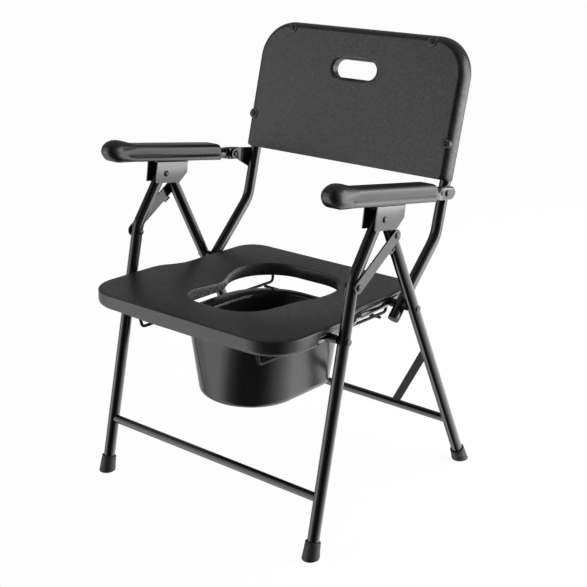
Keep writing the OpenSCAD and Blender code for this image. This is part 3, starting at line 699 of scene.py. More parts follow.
@dataclass
class HingeEar:
    """Bent plate from the back tube to the arm hinge."""

    side: Side
    middle: float = 255.75
    plate_t: float = 3.5
    half_h: float = 11.0
    nick: float = 0.6
    bend_from: float = 4.0
    bend_run: float = 27.0
    bend_in: float = 13.5
    weld_high: float = 9.0
    weld_low: float = -31.0

    def stations(self) -> list[tuple[float, float, float, float]]:
        """Stations along the plate, from its round tip to the weld.

        Returns:
            Place behind the arm hinge, place across, upper and lower edge of each station.
        """
        tip = [math.radians(a) for a in (4, 15, 27, 40, 54, 70, 90)]
        found = [(-self.half_h * math.cos(t), self.middle, self.half_h * math.sin(t),
                  -self.half_h * math.sin(t)) for t in tip]
        for i in range(13):
            t = i / 12
            found.append((self.bend_from + self.bend_run * t, self.middle - self.bend_in * ease(t) * t,
                          between(self.half_h, self.weld_high, t),
                          between(-self.half_h, self.weld_low, t)))
        return found

    def build(self) -> None:
        """Builds the plate from its round tip at the arm hinge to the weld at the tube."""
        half, nick = self.plate_t / 2, self.nick
        lean = math.tan(math.radians(BACK.degrees))
        rings = []
        for behind, x, high, low in self.stations():
            low = min(low, high - 1.4)
            follow = lean * max(behind - self.bend_from, 0.0) / self.bend_run
            section = [(half, low + nick), (half, high - nick), (half - nick, high), (nick - half, high),
                       (-half, high - nick), (-half, low + nick), (nick - half, low), (half - nick, low)]
            rings.append([UPRIGHT.put(self.side.value * (x + out),
                                      ARM_HINGE[0] + behind + follow * (up + self.half_h),
                                      ARM_HINGE[1] + up) for out, up in section])
        ear = skin("hinge_ear_plate_" + self.side.word, rings, smooth_deg=35.0)
        settle(ear, "back_frame", POWDER_COAT, "hinge_ear_" + self.side.word)


@dataclass
class SeatBoard:
    """Moulded seat with its keyhole opening, dished top and rebate for the side tubes."""

    rise: float = 15.6
    thick: float = 28.0
    half_front: float = 240.0
    half_rear: float = 214.0
    front: float = 353.0
    back: float = 91.0
    front_r: float = 72.0
    rear_r: float = 45.0
    waist_front: float = -180.0
    waist_rear: float = -92.0
    hole_half_rear: float = 117.0
    hole_half_front: float = 90.0
    hole_front: float = 262.0
    hole_back: float = 27.0
    hole_front_r: float = 62.0
    hole_rear_r: float = 85.0
    hole_waist: float = -150.0
    dish_y: float = -115.0
    dish_reach: float = 222.0
    dish_inner: float = 100.0
    dish_depth: float = 9.0
    skirt_back: float = 245.0
    lip_z: float = 9.8
    rebate_front: float = 207.0
    rebate_rear: float = 194.0
    rebate_from: float = -150.0
    rebate_run: float = 65.0
    edge_r: float = 3.0
    hole_edge_r: float = 2.2
    edge_nick: float = 1.5
    corner_nick: float = 7.0
    hinge_pocket_x: float = 195.5
    pivot_pocket_x: float = 208.5
    pocket_r: float = 8.5
    pocket_deep: float = 9.0
    wall_least: float = 0.15
    wall_near: float = 0.6
    lobe_from: float = -75.0
    lobe_run: float = 60.0
    rays: int = 300

    def outline(self) -> Outline:
        """Outer edge of the seat."""
        front, rear = self.front_r, self.rear_r
        half = (arc((self.half_front - front, front - self.front), front, -90, 0, 24)
                + sway((self.half_front, self.waist_front), (self.half_rear, self.waist_rear))
                + arc((self.half_rear - rear, self.back - rear), rear, 0, 90, 16))
        return with_mirror(half)

    def opening(self) -> Outline:
        """Edge of the keyhole opening."""
        front, rear = self.hole_front_r, self.hole_rear_r
        half = (arc((self.hole_half_front - front, front - self.hole_front), front, -90, 0, 20)
                + sway((self.hole_half_front, self.hole_waist),
                       (self.hole_half_rear, self.hole_back - rear))
                + arc((self.hole_half_rear - rear, self.hole_back - rear), rear, 0, 90, 20))
        return with_mirror(half)

    def top(self, r: float) -> float:
        """Height of the dished top at a distance from the dish middle."""
        short = max(self.dish_reach - r, 0.0) / (self.dish_reach - self.dish_inner)
        return self.rise - self.dish_depth * short * short

    def rebate(self, angle: float) -> float:
        """Distance along a ray to the wall beside the side tube.

        Args:
            angle: direction of the ray in radians.

        Returns:
            The distance, very large where the ray runs along the chair.
        """
        lean = max(abs(math.cos(angle)), 0.05)
        r = self.rebate_rear / lean
        for _ in range(4):
            y = self.dish_y + r * math.sin(angle)
            inward = ease((y - self.rebate_from) / self.rebate_run)
            r = between(self.rebate_front, self.rebate_rear, inward) / lean
        return r

    def section(self, angle: float, hole: float, edge: float) -> Outline:
        """Section of the board along a ray from the dish middle.

        Args:
            angle: direction of the ray in radians.
            hole: distance to the opening.
            edge: distance to the outer edge.

        Returns:
            Distances with heights, as a closed loop.
        """
        bottom = self.rise - self.thick
        edge_y = self.dish_y + edge * math.sin(angle)
        wall = self.rebate(angle)
        lipped = edge_y > -self.skirt_back and wall < edge - 2
        tilt = math.radians(SEAT.degrees)
        under = (self.lip_z + edge_y * math.sin(tilt)) / math.cos(tilt) if lipped else bottom
        crown = self.top(edge)
        round_r = min(self.edge_r, 0.7 * (crown - under))
        corner = abs(abs(math.degrees(math.atan2(math.cos(angle), -math.sin(angle)))) - 45)
        nick = min(self.edge_nick + self.corner_nick * ease(1.5 - corner / 20), 0.3 * (crown - under))
        inner = hole + self.hole_edge_r
        brow = self.top(inner)
        # Wall of the opening, dished top, outer edge, then the rebate or the plain underside
        points = [(hole + self.edge_nick, bottom), (hole, bottom + self.edge_nick)]
        points += [(inner - u, brow - self.hole_edge_r + v)
                   for u, v in arc((0, 0), self.hole_edge_r, 0, 90, 6)]
        span = edge - round_r - inner
        points += [(inner + span * i / 12, self.top(inner + span * i / 12)) for i in range(1, 12)]
        points += [(edge - round_r + u, crown - round_r + v)
                   for v, u in arc((0, 0), round_r, 0, 90, 7)]
        points += [(edge - nick + nick * math.cos(t), under + nick - nick * math.sin(t))
                   for t in (0.0, 0.4, 0.8, 1.2, math.pi / 2)]
        if lipped:
            points += [(wall + 1, under), (wall, under - 1), (wall, bottom + self.edge_nick),
                       (wall - self.edge_nick, bottom)]
        else:
            points += [(edge - nick - 0.2 * i, bottom) for i in range(1, 5)]
        return points

    def build(self) -> None:
        """Builds the board and cuts the pockets of the pivot nuts."""
        centre = (0.0, self.dish_y)
        outline, opening = self.outline(), self.opening()
        angles = [2 * math.pi * (i + 0.5) / self.rays for i in range(self.rays)]
        columns = []
        for angle in angles:
            section = self.section(angle, reach(opening, centre, angle), reach(outline, centre, angle))
            columns.append([SEAT.put(r * math.cos(angle), self.dish_y + r * math.sin(angle), z)
                            for r, z in section])
        smooth_deg = 50.0
        board = skin("seat_board_moulding", rings_of(columns), closed=True, smooth_deg=smooth_deg)
        for side in Side:
            for place, x in ((SEAT_HINGE, self.hinge_pocket_x), (FRONT_PIVOT, self.pivot_pocket_x)):
                pocket = [(x - self.pocket_deep, self.pocket_r), (x + 1, self.pocket_r)]
                cut(board, turned("nut_pocket", place, pocket, side.value))
        bpy.ops.object.shade_smooth_by_angle(angle=math.radians(smooth_deg))
        self.mark_reflection_wall(board, opening)
        settle(board, "seat", MOULDED_BOARD, "seat_board")

    def mark_reflection_wall(self, board: Piece, opening: Outline) -> None:
        """Marks the faces of the opening's wall for the finish's painted reflection, most in the narrow
        front lobe.

        Args:
            board: the seat board.
            opening: edge of the opening.
        """
        # Share of the painted reflection on each wall face, growing toward the front lobe
        marks = []
        for face in board.data.polygons:
            x, y, _ = SEAT.find(face.center)
            away = math.hypot(x, y - self.dish_y)
            edge = reach(opening, (0.0, self.dish_y), math.atan2(y - self.dish_y, x))
            share = between(self.wall_least, 1.0, ease((self.lobe_from - y) / self.lobe_run))
            marks.append(share if abs(away - edge) < self.wall_near else 0.0)
        board.data.attributes.new(PAINTED_REFLECTION_WALL, "FLOAT", "FACE").data.foreach_set("value", marks)
        LOG.info("marked %d faces of the opening's wall", sum(mark > 0 for mark in marks))


@dataclass
class Bucket:
    """Bucket that hangs by its rim on the rails under the seat."""

    rim_ahead: float = 108.0
    low_ahead: float = 124.0
    half_w: float = 116.0
    half_d: float = 146.0
    draft: float = 16.0
    low_half_d: float = 124.0
    corner_r: float = 96.0
    corner_gap: float = 1.5
    rear_sharpen: float = 45.0
    rear_inset_most: float = 50.0
    least_r: float = 0.5
    deep: float = 134.0
    wall: float = 3.0
    bottom_round: float = 14.0
    levels: tuple[float, ...] = (30.0, 60.0, 90.0)
    flat_insets: tuple[float, ...] = (30.0, 60.0, 98.0)
    rim_half_w: float = 151.0
    rim_half_d: float = 158.0
    rim_corner_r: float = 112.0
    rim_z: float = -52.3
    rim_t: float = 4.0

    def ring(self, z: float, half_w: float, half_d: float, ahead: float, front_r: float,
             rear_r: float) -> Ring:
        """One level ring of the bucket.

        Args:
            z: height in the seat frame.
            half_w: half the width.
            half_d: half the depth.
            ahead: how far its middle is ahead of the seat hinge.
            front_r: radius of the front corners.
            rear_r: radius of the rear corners.

        Returns:
            The places of the ring.
        """
        steps = 24
        rear = rounded_box(half_w, half_d, rear_r, steps)[:2 * (steps + 1)]
        front = rounded_box(half_w, half_d, front_r, steps)[2 * (steps + 1):]
        return [SEAT.put(x, y - ahead, z) for x, y in rear + front]

    def wall_ring(self, drop: float, inset: float) -> Ring:
        """Ring on the tapering wall.

        Args:
            drop: distance below the underside of the rim.
            inset: distance inside the outer face.

        Returns:
            The places of the ring.
        """
        down = min(drop / (self.deep - self.bottom_round), 1.0)
        half_w = self.half_w - self.draft * down - inset
        half_d = between(self.half_d, self.low_half_d, down) - inset
        ahead = between(self.rim_ahead, self.low_ahead, down)
        sharp = (self.half_w - self.corner_r) * (1 - down)
        front_r = max(half_w - self.corner_gap - sharp, self.least_r)
        rear_r = self.corner_r - self.rear_sharpen * down - min(inset, self.rear_inset_most)
        return self.ring(self.rim_z - drop, half_w, half_d, ahead, front_r, max(rear_r, self.least_r))

    def bottom(self, deep: float, inset: float) -> list[Ring]:
        """Rings of a flat bottom with a rounded edge, from the wall to the middle.

        Args:
            deep: distance of the bottom below the underside of the rim.
            inset: distance of its wall inside the outer face.

        Returns:
            The rings in order.
        """
        soft = self.bottom_round
        turns = [math.radians(a) for a in range(0, 91, 15)]
        edge = [self.wall_ring(deep - soft + soft * math.sin(t), inset + soft - soft * math.cos(t))
                for t in turns]
        return edge + [self.wall_ring(deep, flat) for flat in self.flat_insets]

    def build(self) -> None:
        """Builds the bucket from the inner floor over the rim to the bottom."""
        rings = self.bottom(self.deep - self.wall, self.wall)[::-1]
        rings += [self.wall_ring(drop, self.wall) for drop in (*reversed(self.levels), 5.0)]
        brow = ((1.0, self.wall), (-1.6, self.wall - 0.6), (-3.2, self.wall - 2.0),
                (-self.rim_t, self.wall - 4.5))
        rings += [self.wall_ring(drop, inset) for drop, inset in brow]
        half = self.rim_t / 2
        for t in (math.radians(a) for a in range(90, -91, -30)):
            out = half - half * math.cos(t)
            corner_r = self.rim_corner_r - out
            rings.append(self.ring(self.rim_z + half + half * math.sin(t), self.rim_half_w - out,
                                   self.rim_half_d - out, self.rim_ahead, corner_r, corner_r))
        fillet = ((0.0, -5.0), (0.6, -2.2), (2.5, -0.6), (6.0, 0.0))
        rings += [self.wall_ring(drop, inset) for drop, inset in fillet]
        rings += [self.wall_ring(drop, 0.0) for drop in self.levels]
        rings += self.bottom(self.deep, 0.0)
        bucket = skin("bucket_moulding", rings, smooth_deg=60.0)
        settle(bucket, "bucket", BUCKET_GLOSS, "bucket")


@dataclass
class Arm:
    """One arm: tube with a flattened end, moulded armrest and the channel for the front leg."""

    side: Side
    tube_r: float = 11.0
    flat_from: float = 36.0
    flat_to: float = 14.0
    tab_t: float = 10.0
    tab_half_h: float = 12.5
    tab_over: float = 14.5
    tab_square: float = 3.5
    pad_rear: float = 53.0
    pad_front: float = 357.0
    pad_half: float = 20.0
    pad_low: float = -11.5
    pad_top: float = 21.0
    pad_end_r: float = 14.0
    pad_end_in: float = 2.5
    edge_r: float = 6.5
    low_r: float = 3.0
    bulb_from: float = 284.0
    bulb_at: float = 331.0
    bulb_top: float = 28.0
    bulb_low: float = -13.0
    bulb_half: float = 22.5
    bulb_edge_r: float = 20.0
    bulb_low_r: float = 11.0
    nose_low_r: float = 18.0
    nose_power: float = 0.72
    line_deep: float = 1.5
    line_down: float = 0.63
    groove_r: float = 11.15
    channel_rear: float = 147.0
    channel_mid: float = 198.0
    channel_front: float = 230.0
    channel_half: float = 14.5
    channel_inner: float = 12.5
    channel_top: float = -11.55
    channel_deep: float = 43.0
    channel_bend: float = 2.4
    cut_deep: float = 22.0
    cut_to: float = 168.0
    sheet: float = 2.0

    @property
    def body(self) -> str:
        """Body that the arm moves with."""
        return "arm_" + self.side.word

    def put(self, across: float, ahead: float, up: float) -> Vector:
        """Turns a place on the arm into a place in the scene.

        Args:
            across: place outward from the tube axis.
            ahead: place forward of the arm hinge.
            up: place above the tube axis.

        Returns:
            The place in metres.
        """
        return ARM.put(self.side.value * (LEG_HALF + across), -ahead, up)

    def build_tube(self) -> None:
        """Builds the tube, round under the armrest and flattened at the hinge."""
        stations = [(ahead, 0.0, 1.0) for ahead in (self.bulb_at, 200.0, 90.0)]
        stations += [(between(self.flat_from, self.flat_to, i / 12), ease(i / 12), 1.0) for i in range(13)]
        stations += [(8.0, 1.0, 1.0), (-self.tab_over, 1.0, 1.0)]
        stations += [(-self.tab_over - self.tab_half_h * math.sin(t), 1.0, math.cos(t))
                     for t in (math.radians(a) for a in (15, 30, 45, 60, 72, 82, 88))]
        rings = []
        for ahead, flat, tall in stations:
            wide = between(self.tube_r, self.tab_t / 2, flat)
            high = between(self.tube_r, self.tab_half_h, flat) * tall
            power = 2 / (2 + self.tab_square * flat)
            ring = []
            for i in range(48):
                turn = 2 * math.pi * i / 48
                c, s = math.cos(turn), math.sin(turn)
                ring.append(self.put(math.copysign(abs(c) ** power, c) * wide, ahead,
                                     math.copysign(abs(s) ** power, s) * high))
            rings.append(ring)
        tube = skin("arm_tube_bent_" + self.side.word, rings, smooth_deg=40.0)
        settle(tube, self.body, POWDER_COAT, "arm_tube_" + self.side.word)

    def pad_section(self, half: float, top: float, low: float, top_r: float, low_r: float, line: float,
                    grooved: bool) -> Outline:
        """Section across the armrest.

        Args:
            half: half the width.
            top: height of the top.
            low: height of the bottom.
            top_r: radius of the upper edges.
            low_r: radius of the lower edges.
            line: depth of the moulded line along the side.
            grooved: whether the tube runs in this section.

        Returns:
            The closed outline, places across with heights.
        """
        tall = top - low
        top_r = min(top_r, 0.52 * tall, 0.92 * half)
        low_r = min(low_r, 0.46 * tall, 0.92 * half)
        mark = top - self.line_down * tall
        gap = min(1.2, 0.02 * tall + 0.3)
        foot = half - line
        right = [(min(self.groove_r, half - low_r), low)]
        right += [(foot - low_r + u, low + low_r + v) for u, v in arc((0, 0), low_r, -90, 0, 6)]
        right += [(foot, max(mark - 1.6 * gap, low + low_r + 0.01)), (foot - 0.9 * line, mark - 0.5 * gap),
                  (foot - 0.9 * line, mark + 0.4 * gap), (half - 0.3 * line, mark + 1.4 * gap),
                  (half, mark + 2.4 * gap)]
        side_top = max(top - top_r, mark + 2.4 * gap + 0.01)
        right += [(half - top_r + u, between(side_top, top, v / top_r))
                  for u, v in arc((0, 0), top_r, 0, 84, 8)]
        right += [((half - top_r) * 0.5, top + 0.2)]
        vault = [(-u, v) for u, v in arc((0, 0), self.groove_r, 0, 180, 14)]
        if not grooved:
            share = min(1.0, (half - low_r) / self.groove_r)
            vault = [(x * share, low) for x, _ in vault]
        return with_mirror(right) + vault

    def build_pad(self) -> None:
        """Builds the armrest from its rear end to the bulb in front."""
        rings = []

        def station(ahead: float, *sizes: float, grooved: bool = True) -> None:
            """Adds a ring at a place ahead of the arm hinge, with the sizes of its section."""
            rings.append([self.put(x, ahead, z) for x, z in self.pad_section(*sizes, grooved)])

        end_r = self.pad_end_r
        for along in (0.0, 0.4, 1.4, 3.0, 5.0, 8.0, 11.0, 14.0, 20.0, 60.0, 110.0, 160.0, 200.0, 225.0):
            short = max(end_r - along, 0.0)
            top = self.pad_top - end_r + math.sqrt(end_r * end_r - short * short)
            half = self.pad_half - self.pad_end_in * (short / end_r) ** 3
            station(self.pad_rear + along, half, top, self.pad_low, self.edge_r, self.low_r,
                    self.line_deep * ease(along / 10))
        rest = (self.pad_half, self.pad_top, self.pad_low, self.edge_r, self.low_r)
        full = (self.bulb_half, self.bulb_top, self.bulb_low, self.bulb_edge_r, self.bulb_low_r)
        for t in (i / 14 for i in range(1, 15)):
            swollen = [between(a, b, ease(t)) for a, b in zip(rest, full)]
            station(between(self.bulb_from, self.bulb_at, t), *swollen,
                    self.line_deep * (1 - ease((t - 0.3) / 0.6)))
        nose = self.pad_front - self.bulb_at
        middle = (self.bulb_top + self.bulb_low) / 2
        nose_turns = (0.5, 10, 20, 30, 40, 49, 57, 64, 70, 76, 81, 85, 88)
        for angle in nose_turns:
            t = math.radians(angle)
            tall = (self.bulb_top - middle) * math.cos(t)
            half = self.bulb_half * math.cos(t) ** self.nose_power
            low_r = between(self.bulb_low_r, self.nose_low_r, angle / nose_turns[-1])
            station(self.bulb_at + nose * math.sin(t), half, middle + tall, middle - tall, self.bulb_edge_r,
                    low_r, 0.0, grooved=False)
        pad = skin("armrest_moulding_" + self.side.word, rings, smooth_deg=55.0)
        settle(pad, self.body, ARMREST_SKIN, "armrest_" + self.side.word)

    def build_channel(self) -> None:
        """Builds the folded channel with a rounded cut at its rear."""
        rear, front, deep = self.channel_rear, self.channel_front, self.channel_deep
        cut_line = ((rear, self.cut_deep), (rear + 0.4, self.cut_deep + 1.6),
                    (self.cut_to - 1.6, deep - 0.4), (self.cut_to, deep), (self.channel_mid, deep),
                    (front - 1.5, deep), (front - 0.4, deep - 0.4), (front, deep - 1.5))
        bend = self.channel_bend
        rings = []
        for ahead, down in cut_line:
            low = self.channel_top - down
            outside = [(self.channel_half, low)]
            outside += [(self.channel_half - bend + u, self.channel_top - bend + v)
                        for u, v in arc((0, 0), bend, 0, 90, 6)]
            inside = [(-self.channel_inner, low), (-self.channel_inner, self.channel_top - self.sheet)]
            rings.append([self.put(x, ahead, z) for x, z in with_mirror(outside) + with_mirror(inside)])
        channel = skin("arm_channel_folded_" + self.side.word, rings, smooth_deg=30.0)
        settle(channel, self.body, POWDER_COAT, "arm_channel_" + self.side.word)

    def build(self) -> None:
        """Builds the tube, the armrest and the channel."""
        self.build_tube()
        self.build_pad()
        self.build_channel()


@dataclass
class Link:
    """Flat bar between a front leg and a rear leg, with a stop finger under its rear end."""

    side: Side
    front: Spot
    rear: Spot
    half_w: float = 11.0
    inner: float = LINK_INNER
    outer: float = LINK_OUTER
    edge: float = 0.6
    finger_tip: float = 15.0
    finger_root: float = 31.0
    finger_stem: float = 4.0
    finger_low: float = -17.0
    finger_t: float = 3.0

    def plate(self, name: str, outline: Outline) -> Piece:
        """Skins a flat plate with broken edges.

        Args:
            name: name of the plate.
            outline: closed outline along and across the bar.

        Returns:
            The plate.
        """
        run = Vector((self.rear[0] - self.front[0], self.rear[1] - self.front[1])).normalized()
        middle = Vector((sum(p[0] for p in outline), sum(p[1] for p in outline))) / len(outline)
        rings = []
        for x, inset in ((self.inner, self.edge), (self.inner + self.edge, 0.0),
                         (self.outer - self.edge, 0.0), (self.outer, self.edge)):
            ring = []
            for along, across in outline:
                out = Vector((along, across)) - middle
                along -= inset * out.x / max(out.length, 1e-6)
                across -= inset * out.y / max(out.length, 1e-6)
                ring.append(UPRIGHT.put(self.side.value * x, self.front[0] + run.x * along - run.y * across,
                                        self.front[1] + run.y * along + run.x * across))
            rings.append(ring)
        return skin(name, rings, smooth_deg=25.0)

    def build(self) -> None:
        """Builds the bar with its stop finger."""
        length = math.hypot(self.rear[0] - self.front[0], self.rear[1] - self.front[1])
        bar = arc((0, 0), self.half_w, 90, 270, 24) + arc((length, 0), self.half_w, -90, 90, 24)
        tip, root = length - self.finger_tip, length - self.finger_root
        stem = root + self.finger_stem
        low, high = self.finger_low, self.finger_low + self.finger_t
        joint = self.edge - self.half_w
        finger = [(root, joint), (root, low + 1), (root + 1, low), (tip - 1, low), (tip, low + 1),
                  (tip, high - 0.6), (tip - 0.6, high), (stem + 0.4, high), (stem, high + 0.4),
                  (stem, joint)]
        link = joined("link_bar_" + self.side.word, [self.plate("link", bar), self.plate("finger", finger)])
        settle(link, "link_" + self.side.word, POWDER_COAT, "link_" + self.side.word)


@dataclass
class Feet:
    """Rubber caps on the four leg ends, level at the floor."""

    bore_r: float = 11.05
    inset: float = 8.0
    tall: float = 32.0
    # Distance with radius: rolled lip below the top, skirt along the leg, sole above the floor
    lip: tuple[Spot, ...] = (
        (0.0, 11.95), (0.3, 13.3), (1.1, 14.0), (3.6, 14.15), (4.2, 13.6), (4.9, 13.6), (5.5, 14.25))
    skirt: tuple[Spot, ...] = ((20.0, 14.6), (14.0, 15.0))
    sole: tuple[Spot, ...] = (
        (7.5, 15.5), (3.5, 15.9), (1.6, 16.0), (0.5, 15.75), (0.02, 15.0), (0.02, 0.3))

    def build_one(self, name: str, body: str, mirror: int, foot_y: float, slope: float) -> None:
        """Builds one cap.

        Args:
            name: CAD node that it stands for.
            body: body that it moves with.
            mirror: 1 for the sitter's left, -1 for the right.
            foot_y: place of the leg axis on the floor, from the seat hinge.
            slope: run of the leg toward the rear for each unit of rise.
        """
        axis = Vector((slope, 1.0)).normalized()
        turns = [2 * math.pi * i / 48 for i in range(48)]

        def ring(s: float, r: float, floor: float | None = None) -> Ring:
            """One ring round the leg, or one at a height above the floor where that is given."""
            places = []
            for t in turns:
                lift = s if floor is None else (floor + r * math.sin(t) * axis.x) / axis.y
                places.append(UPRIGHT.put(mirror * (LEG_HALF + r * math.cos(t)),
                                          foot_y + lift * axis.x + r * math.sin(t) * axis.y,
                                          -HINGE_Z + lift * axis.y - r * math.sin(t) * axis.x))
            return places

        rings = [ring(self.inset, 0.3), ring(self.inset, self.bore_r), ring(self.tall, self.bore_r)]
        rings += [ring(self.tall - below, r) for below, r in self.lip]
        rings += [ring(along, r) for along, r in self.skirt]
        rings += [ring(0.0, r, above) for above, r in self.sole]
        foot = skin(name + "_cap", rings, smooth_deg=40.0)
        settle(foot, body, FOOT_RUBBER, name)

    def build(self) -> None:
        """Builds the four caps."""
        for side in Side:
            for end, foot_y, slope in (("front", FRONT_FOOT_Y, FRONT_LEAN),
                                       ("rear", REAR_FOOT_Y, -REAR_FOOT_Y / HINGE_Z)):
                self.build_one(f"{end}_foot_{side.word}", end + "_legs", side.value, foot_y, slope)


@dataclass
class Fasteners:
    """Pivot bolts with low heads and nuts, and rivets with domed heads."""

    bolt_r: float = 4.0
    bolt_head_r: float = 6.5
    bolt_head_t: float = 1.5
    nut_r: float = 7.5
    nut_t: float = 6.0
    bolt_face: float = 274.5
    hinge_inner: float = 195.4
    pivot_inner: float = 208.4
    rivet_r: float = 3.0
    rivet_head_r: float = 6.0
    rivet_head_t: float = 3.0
    # Inner and outer face that each kind of rivet clamps
    arm_hinge_faces: Spot = (254.0, 268.5)
    link_front_faces: Spot = (252.0, 278.0)
    link_rear_faces: Spot = (LINK_INNER, LINK_OUTER)
    leg_top_faces: Spot = (248.5, 277.5)

    def build_bolts(self, node: str, body: str, place: Spot, inner: float) -> None:
        """Builds a pair of pivot bolts.

        Args:
            node: CAD node that they stand for.
            body: body that they move with.
            place: side-view place of the pivot.
            inner: inner face of the seat tube.
        """
        pieces = []
        for side in Side:
            low = inner - self.nut_t
            shank = [(low - 0.4, self.bolt_r - 0.6), (low, self.bolt_r), (self.bolt_face, self.bolt_r)]
            pieces.append(turned("shank", place, shank, side.value))
            head = dome(self.bolt_face, self.bolt_head_r, self.bolt_head_t)
            pieces.append(turned("head", place, head, side.value))
            nut = [(low, self.nut_r - 0.9), (low + 0.6, self.nut_r), (inner - 0.6, self.nut_r),
                   (inner, self.nut_r - 0.9)]
            pieces.append(turned("nut", place, nut, side.value, sides=6, around=36))
        settle(joined(node + "_set", pieces), body, BLACK_STEEL, node)

    def rivet(self, name: str, place: Spot, faces: Spot, side: Side,
              inner_head: bool = True) -> Piece:
        """Builds one rivet.

        Args:
            name: name of the rivet.
            place: side-view place of its axis.
            faces: inner and outer face that it clamps.
            side: side of the chair.
            inner_head: whether a head shows on the inner face too.

        Returns:
            The rivet.
        """
        (inner, outer), mirror = faces, side.value
        pieces = [turned(name, place, [(inner, self.rivet_r), (outer, self.rivet_r)], mirror),
                  turned(name, place, dome(outer, self.rivet_head_r, self.rivet_head_t), mirror)]
        if inner_head:
            pieces.append(turned(name, place, dome(inner, self.rivet_head_r, -self.rivet_head_t), mirror))
        return joined(name, pieces)

    def build(self) -> None:
        """Builds all bolts and rivets."""
        self.build_bolts("seat_hinge_bolts", "back_frame", SEAT_HINGE, self.hinge_inner)
        self.build_bolts("front_pivot_bolts", "seat", FRONT_PIVOT, self.pivot_inner)
        pairs = (("arm_hinge_rivet", "back_frame", ARM_HINGE, self.arm_hinge_faces),
                 ("link_front_rivet", "front_legs", LINK_FRONT, self.link_front_faces))
        for name, body, place, faces in pairs:
            pair = [self.rivet(name, place, faces, side) for side in Side]
            settle(joined(name + "_set", pair), body, BLACK_STEEL, name + "s")
        for side in Side:
            rear = self.rivet("link_rear_rivet_" + side.word, LINK_REAR, self.link_rear_faces, side, False)
            settle(rear, "link_" + side.word, BLACK_STEEL, "link_rivet_" + side.word)
            leg = self.rivet("leg_top_rivet_" + side.word, ARM_PIVOT, self.leg_top_faces, side)
            settle(leg, "arm_" + side.word, BLACK_STEEL, "leg_rivet_" + side.word)


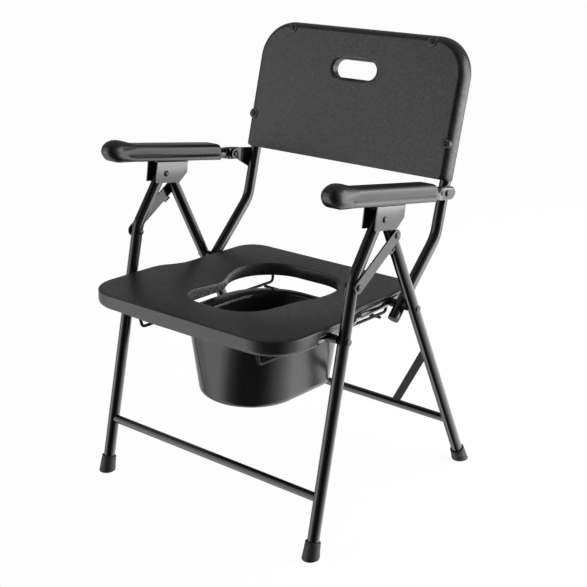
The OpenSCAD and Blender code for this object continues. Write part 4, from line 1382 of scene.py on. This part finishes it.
@dataclass
class Studio:
    """Pale floor, soft lamps and a camera at the photograph's angle."""

    image_px: float = 587.0
    focal_px: float = 1226.5
    sensor_mm: float = 36.0
    camera_mm: Triple = (1442.95, -1748.38, 1167.48)
    yaw_deg: float = 39.96
    pitch_deg: float = 19.84
    roll_deg: float = -0.66
    floor_half_m: float = 30.0
    floor_drop_m: float = 0.0005
    floor_shade: str = "f4f4f4"
    floor_clear: float = 0.9
    room_light: float = 0.32
    room_white: float = 1.05
    # What glossy pieces mirror: where the room's lower half ends, and how dark it is by the camera
    horizon_low: float = -0.15
    horizon_high: float = 0.05
    dark_side: float = 0.02
    dark_level: float = 0.1
    # Cards below the horizon: degrees round from the camera, right positive, with their level
    card_peak: float = 2.8
    cards: tuple[Spot, ...] = (
        (-180.0, 0.25), (-136.0, 0.25), (-108.0, 0.4), (-84.0, 1.0), (-66.0, 0.6), (-56.0, 0.24),
        (-42.0, 0.09), (-28.0, 0.01), (14.0, 0.0), (28.0, 0.04), (42.0, 0.2), (60.0, 0.5),
        (85.0, 0.92), (110.0, 1.0), (180.0, 0.25))
    # Square lamps: name, place in metres, side in metres, watts
    lamp_aim: Triple = (0.0, 0.0, 0.5)
    lamps: tuple[tuple[str, Triple, float, float], ...] = (
        ("right_softbox", (2.3, 1.6, 1.1), 2.4, 90.0),
        ("front_left_softbox", (-2.2, -2.7, 1.1), 2.6, 32.0))

    def build_camera(self) -> None:
        """Places the camera from the fitted angles and makes it the scene's camera."""
        yaw, pitch, roll = (math.radians(a) for a in (self.yaw_deg, self.pitch_deg, self.roll_deg))
        level = math.cos(pitch)
        ahead = Vector((-math.sin(yaw) * level, math.cos(yaw) * level, -math.sin(pitch)))
        right = Vector((math.cos(yaw), math.sin(yaw), 0.0))
        up = right.cross(ahead)
        across = math.cos(roll) * right + math.sin(roll) * up
        upright = -math.sin(roll) * right + math.cos(roll) * up
        turn = Matrix((across, upright, -ahead)).transposed()
        data = bpy.data.cameras.new("studio_camera")
        data.sensor_width = self.sensor_mm
        data.lens = self.focal_px * self.sensor_mm / self.image_px
        camera = bpy.data.objects.new("studio_camera", data)
        bpy.context.collection.objects.link(camera)
        x, y, z = self.camera_mm
        camera.matrix_world = Matrix.Translation(Vector((x, y + HINGE_Y, z)) * MM) @ turn.to_4x4()
        bpy.context.scene.camera = camera

    def build_floor(self) -> None:
        """Lays a pale floor that bounces light and keeps a faint shadow.

        The camera sees the white room through most of it, so rear feet that swing below the floor as
        the chair folds still show.
        """
        bpy.ops.object.select_all(action="DESELECT")
        bpy.ops.mesh.primitive_plane_add(size=2 * self.floor_half_m, location=(0, 0, -self.floor_drop_m))
        floor = bpy.context.active_object
        floor.name = "studio_floor"
        material = bpy.data.materials.new("white_sweep")
        material.use_nodes = True
        tree = material.node_tree
        tree.nodes.clear()
        matte = add_node(tree, "ShaderNodeBsdfDiffuse", {"Color": linear(self.floor_shade)})
        clear = add_node(tree, "ShaderNodeBsdfTransparent")
        seen = add_node(tree, "ShaderNodeLightPath")
        share = add_node(tree, "ShaderNodeMath", {
            0: seen.outputs["Is Camera Ray"], 1: self.floor_clear}, operation="MULTIPLY")
        mixed = add_node(tree, "ShaderNodeMixShader", {
            0: share.outputs[0], 1: matte.outputs[0], 2: clear.outputs[0]})
        add_node(tree, "ShaderNodeOutputMaterial", {"Surface": mixed.outputs[0]})
        floor.data.materials.append(material)
        floor.visible_glossy = False

    def build_world(self) -> None:
        """Makes a white surround, dim as light, full white to the camera and uneven to reflections.

        Glossy pieces mirror a dark room on the camera's side and pale cards to the left and the right.
        """
        world = bpy.data.worlds.new("white_room")
        bpy.context.scene.world = world
        world.use_nodes = True
        tree = world.node_tree
        tree.nodes.clear()
        seen = add_node(tree, "ShaderNodeLightPath")
        way = add_node(tree, "ShaderNodeTexCoord").outputs["Generated"]
        facing = add_node(tree, "ShaderNodeMapping", {
            "Vector": way, "Rotation": (0.0, 0.0, math.radians(90.0 - self.yaw_deg))})
        around = add_node(tree, "ShaderNodeTexGradient", {"Vector": facing.outputs["Vector"]},
                          gradient_type="RADIAL")
        card = add_node(tree, "ShaderNodeValToRGB", {"Fac": around.outputs["Fac"]})
        for _ in self.cards[2:]:
            card.color_ramp.elements.new(1.0)
        for element, (degrees, level) in zip(card.color_ramp.elements, self.cards):
            element.position = 0.5 + degrees / 360
            element.color = (level, level, level, 1.0)
        bright = add_node(tree, "ShaderNodeMath", {
            0: card.outputs["Color"], 1: self.card_peak}, operation="MULTIPLY")
        rise = add_node(tree, "ShaderNodeSeparateXYZ", {"Vector": way})
        above = add_node(tree, "ShaderNodeMapRange", {
            "Value": rise.outputs["Z"], "From Min": self.horizon_low, "From Max": self.horizon_high},
                         interpolation_type="SMOOTHSTEP")
        upper = add_node(tree, "ShaderNodeMapRange", {
            "Value": card.outputs["Color"], "From Max": self.dark_level, "To Min": self.dark_side,
            "To Max": self.room_light})
        mirrored = add_node(tree, "ShaderNodeMix", {
            0: above.outputs["Result"], 2: bright.outputs[0], 3: upper.outputs["Result"]})
        lit = add_node(tree, "ShaderNodeMix", {
            0: seen.outputs["Is Glossy Ray"], 2: self.room_light, 3: mirrored.outputs[0]})
        strength = add_node(tree, "ShaderNodeMix", {
            0: seen.outputs["Is Camera Ray"], 2: lit.outputs[0], 3: self.room_white})
        sky = add_node(tree, "ShaderNodeBackground", {
            "Color": linear("ffffff"), "Strength": strength.outputs[0]})
        add_node(tree, "ShaderNodeOutputWorld", {"Surface": sky.outputs[0]})

    def build_lamps(self) -> None:
        """Sets up the soft lamps, all facing the chair."""
        for name, spot, size, watts in self.lamps:
            data = bpy.data.lights.new(name, "AREA")
            data.shape = "SQUARE"
            data.size = size
            data.energy = watts
            lamp = bpy.data.objects.new(name, data)
            bpy.context.collection.objects.link(lamp)
            lamp.location = spot
            lamp.rotation_mode = "QUATERNION"
            lamp.rotation_quaternion = (Vector(self.lamp_aim) - Vector(spot)).to_track_quat("-Z", "Y")

    def build(self) -> None:
        """Builds camera, floor, surround and lamps."""
        self.build_camera()
        self.build_floor()
        self.build_world()
        self.build_lamps()
        LOG.info("studio ready")


def main() -> None:
    """Dresses the chair and sets up the studio."""
    dress_frame()
    BackRest().build()
    SeatBoard().build()
    Bucket().build()
    for side in Side:
        HingeEar(side).build()
        Arm(side).build()
        Link(side, LINK_FRONT, LINK_REAR).build()
    Feet().build()
    Fasteners().build()
    Studio().build()
    bpy.context.scene.view_settings.view_transform = "Standard"


if __name__ == "__main__":
    main()
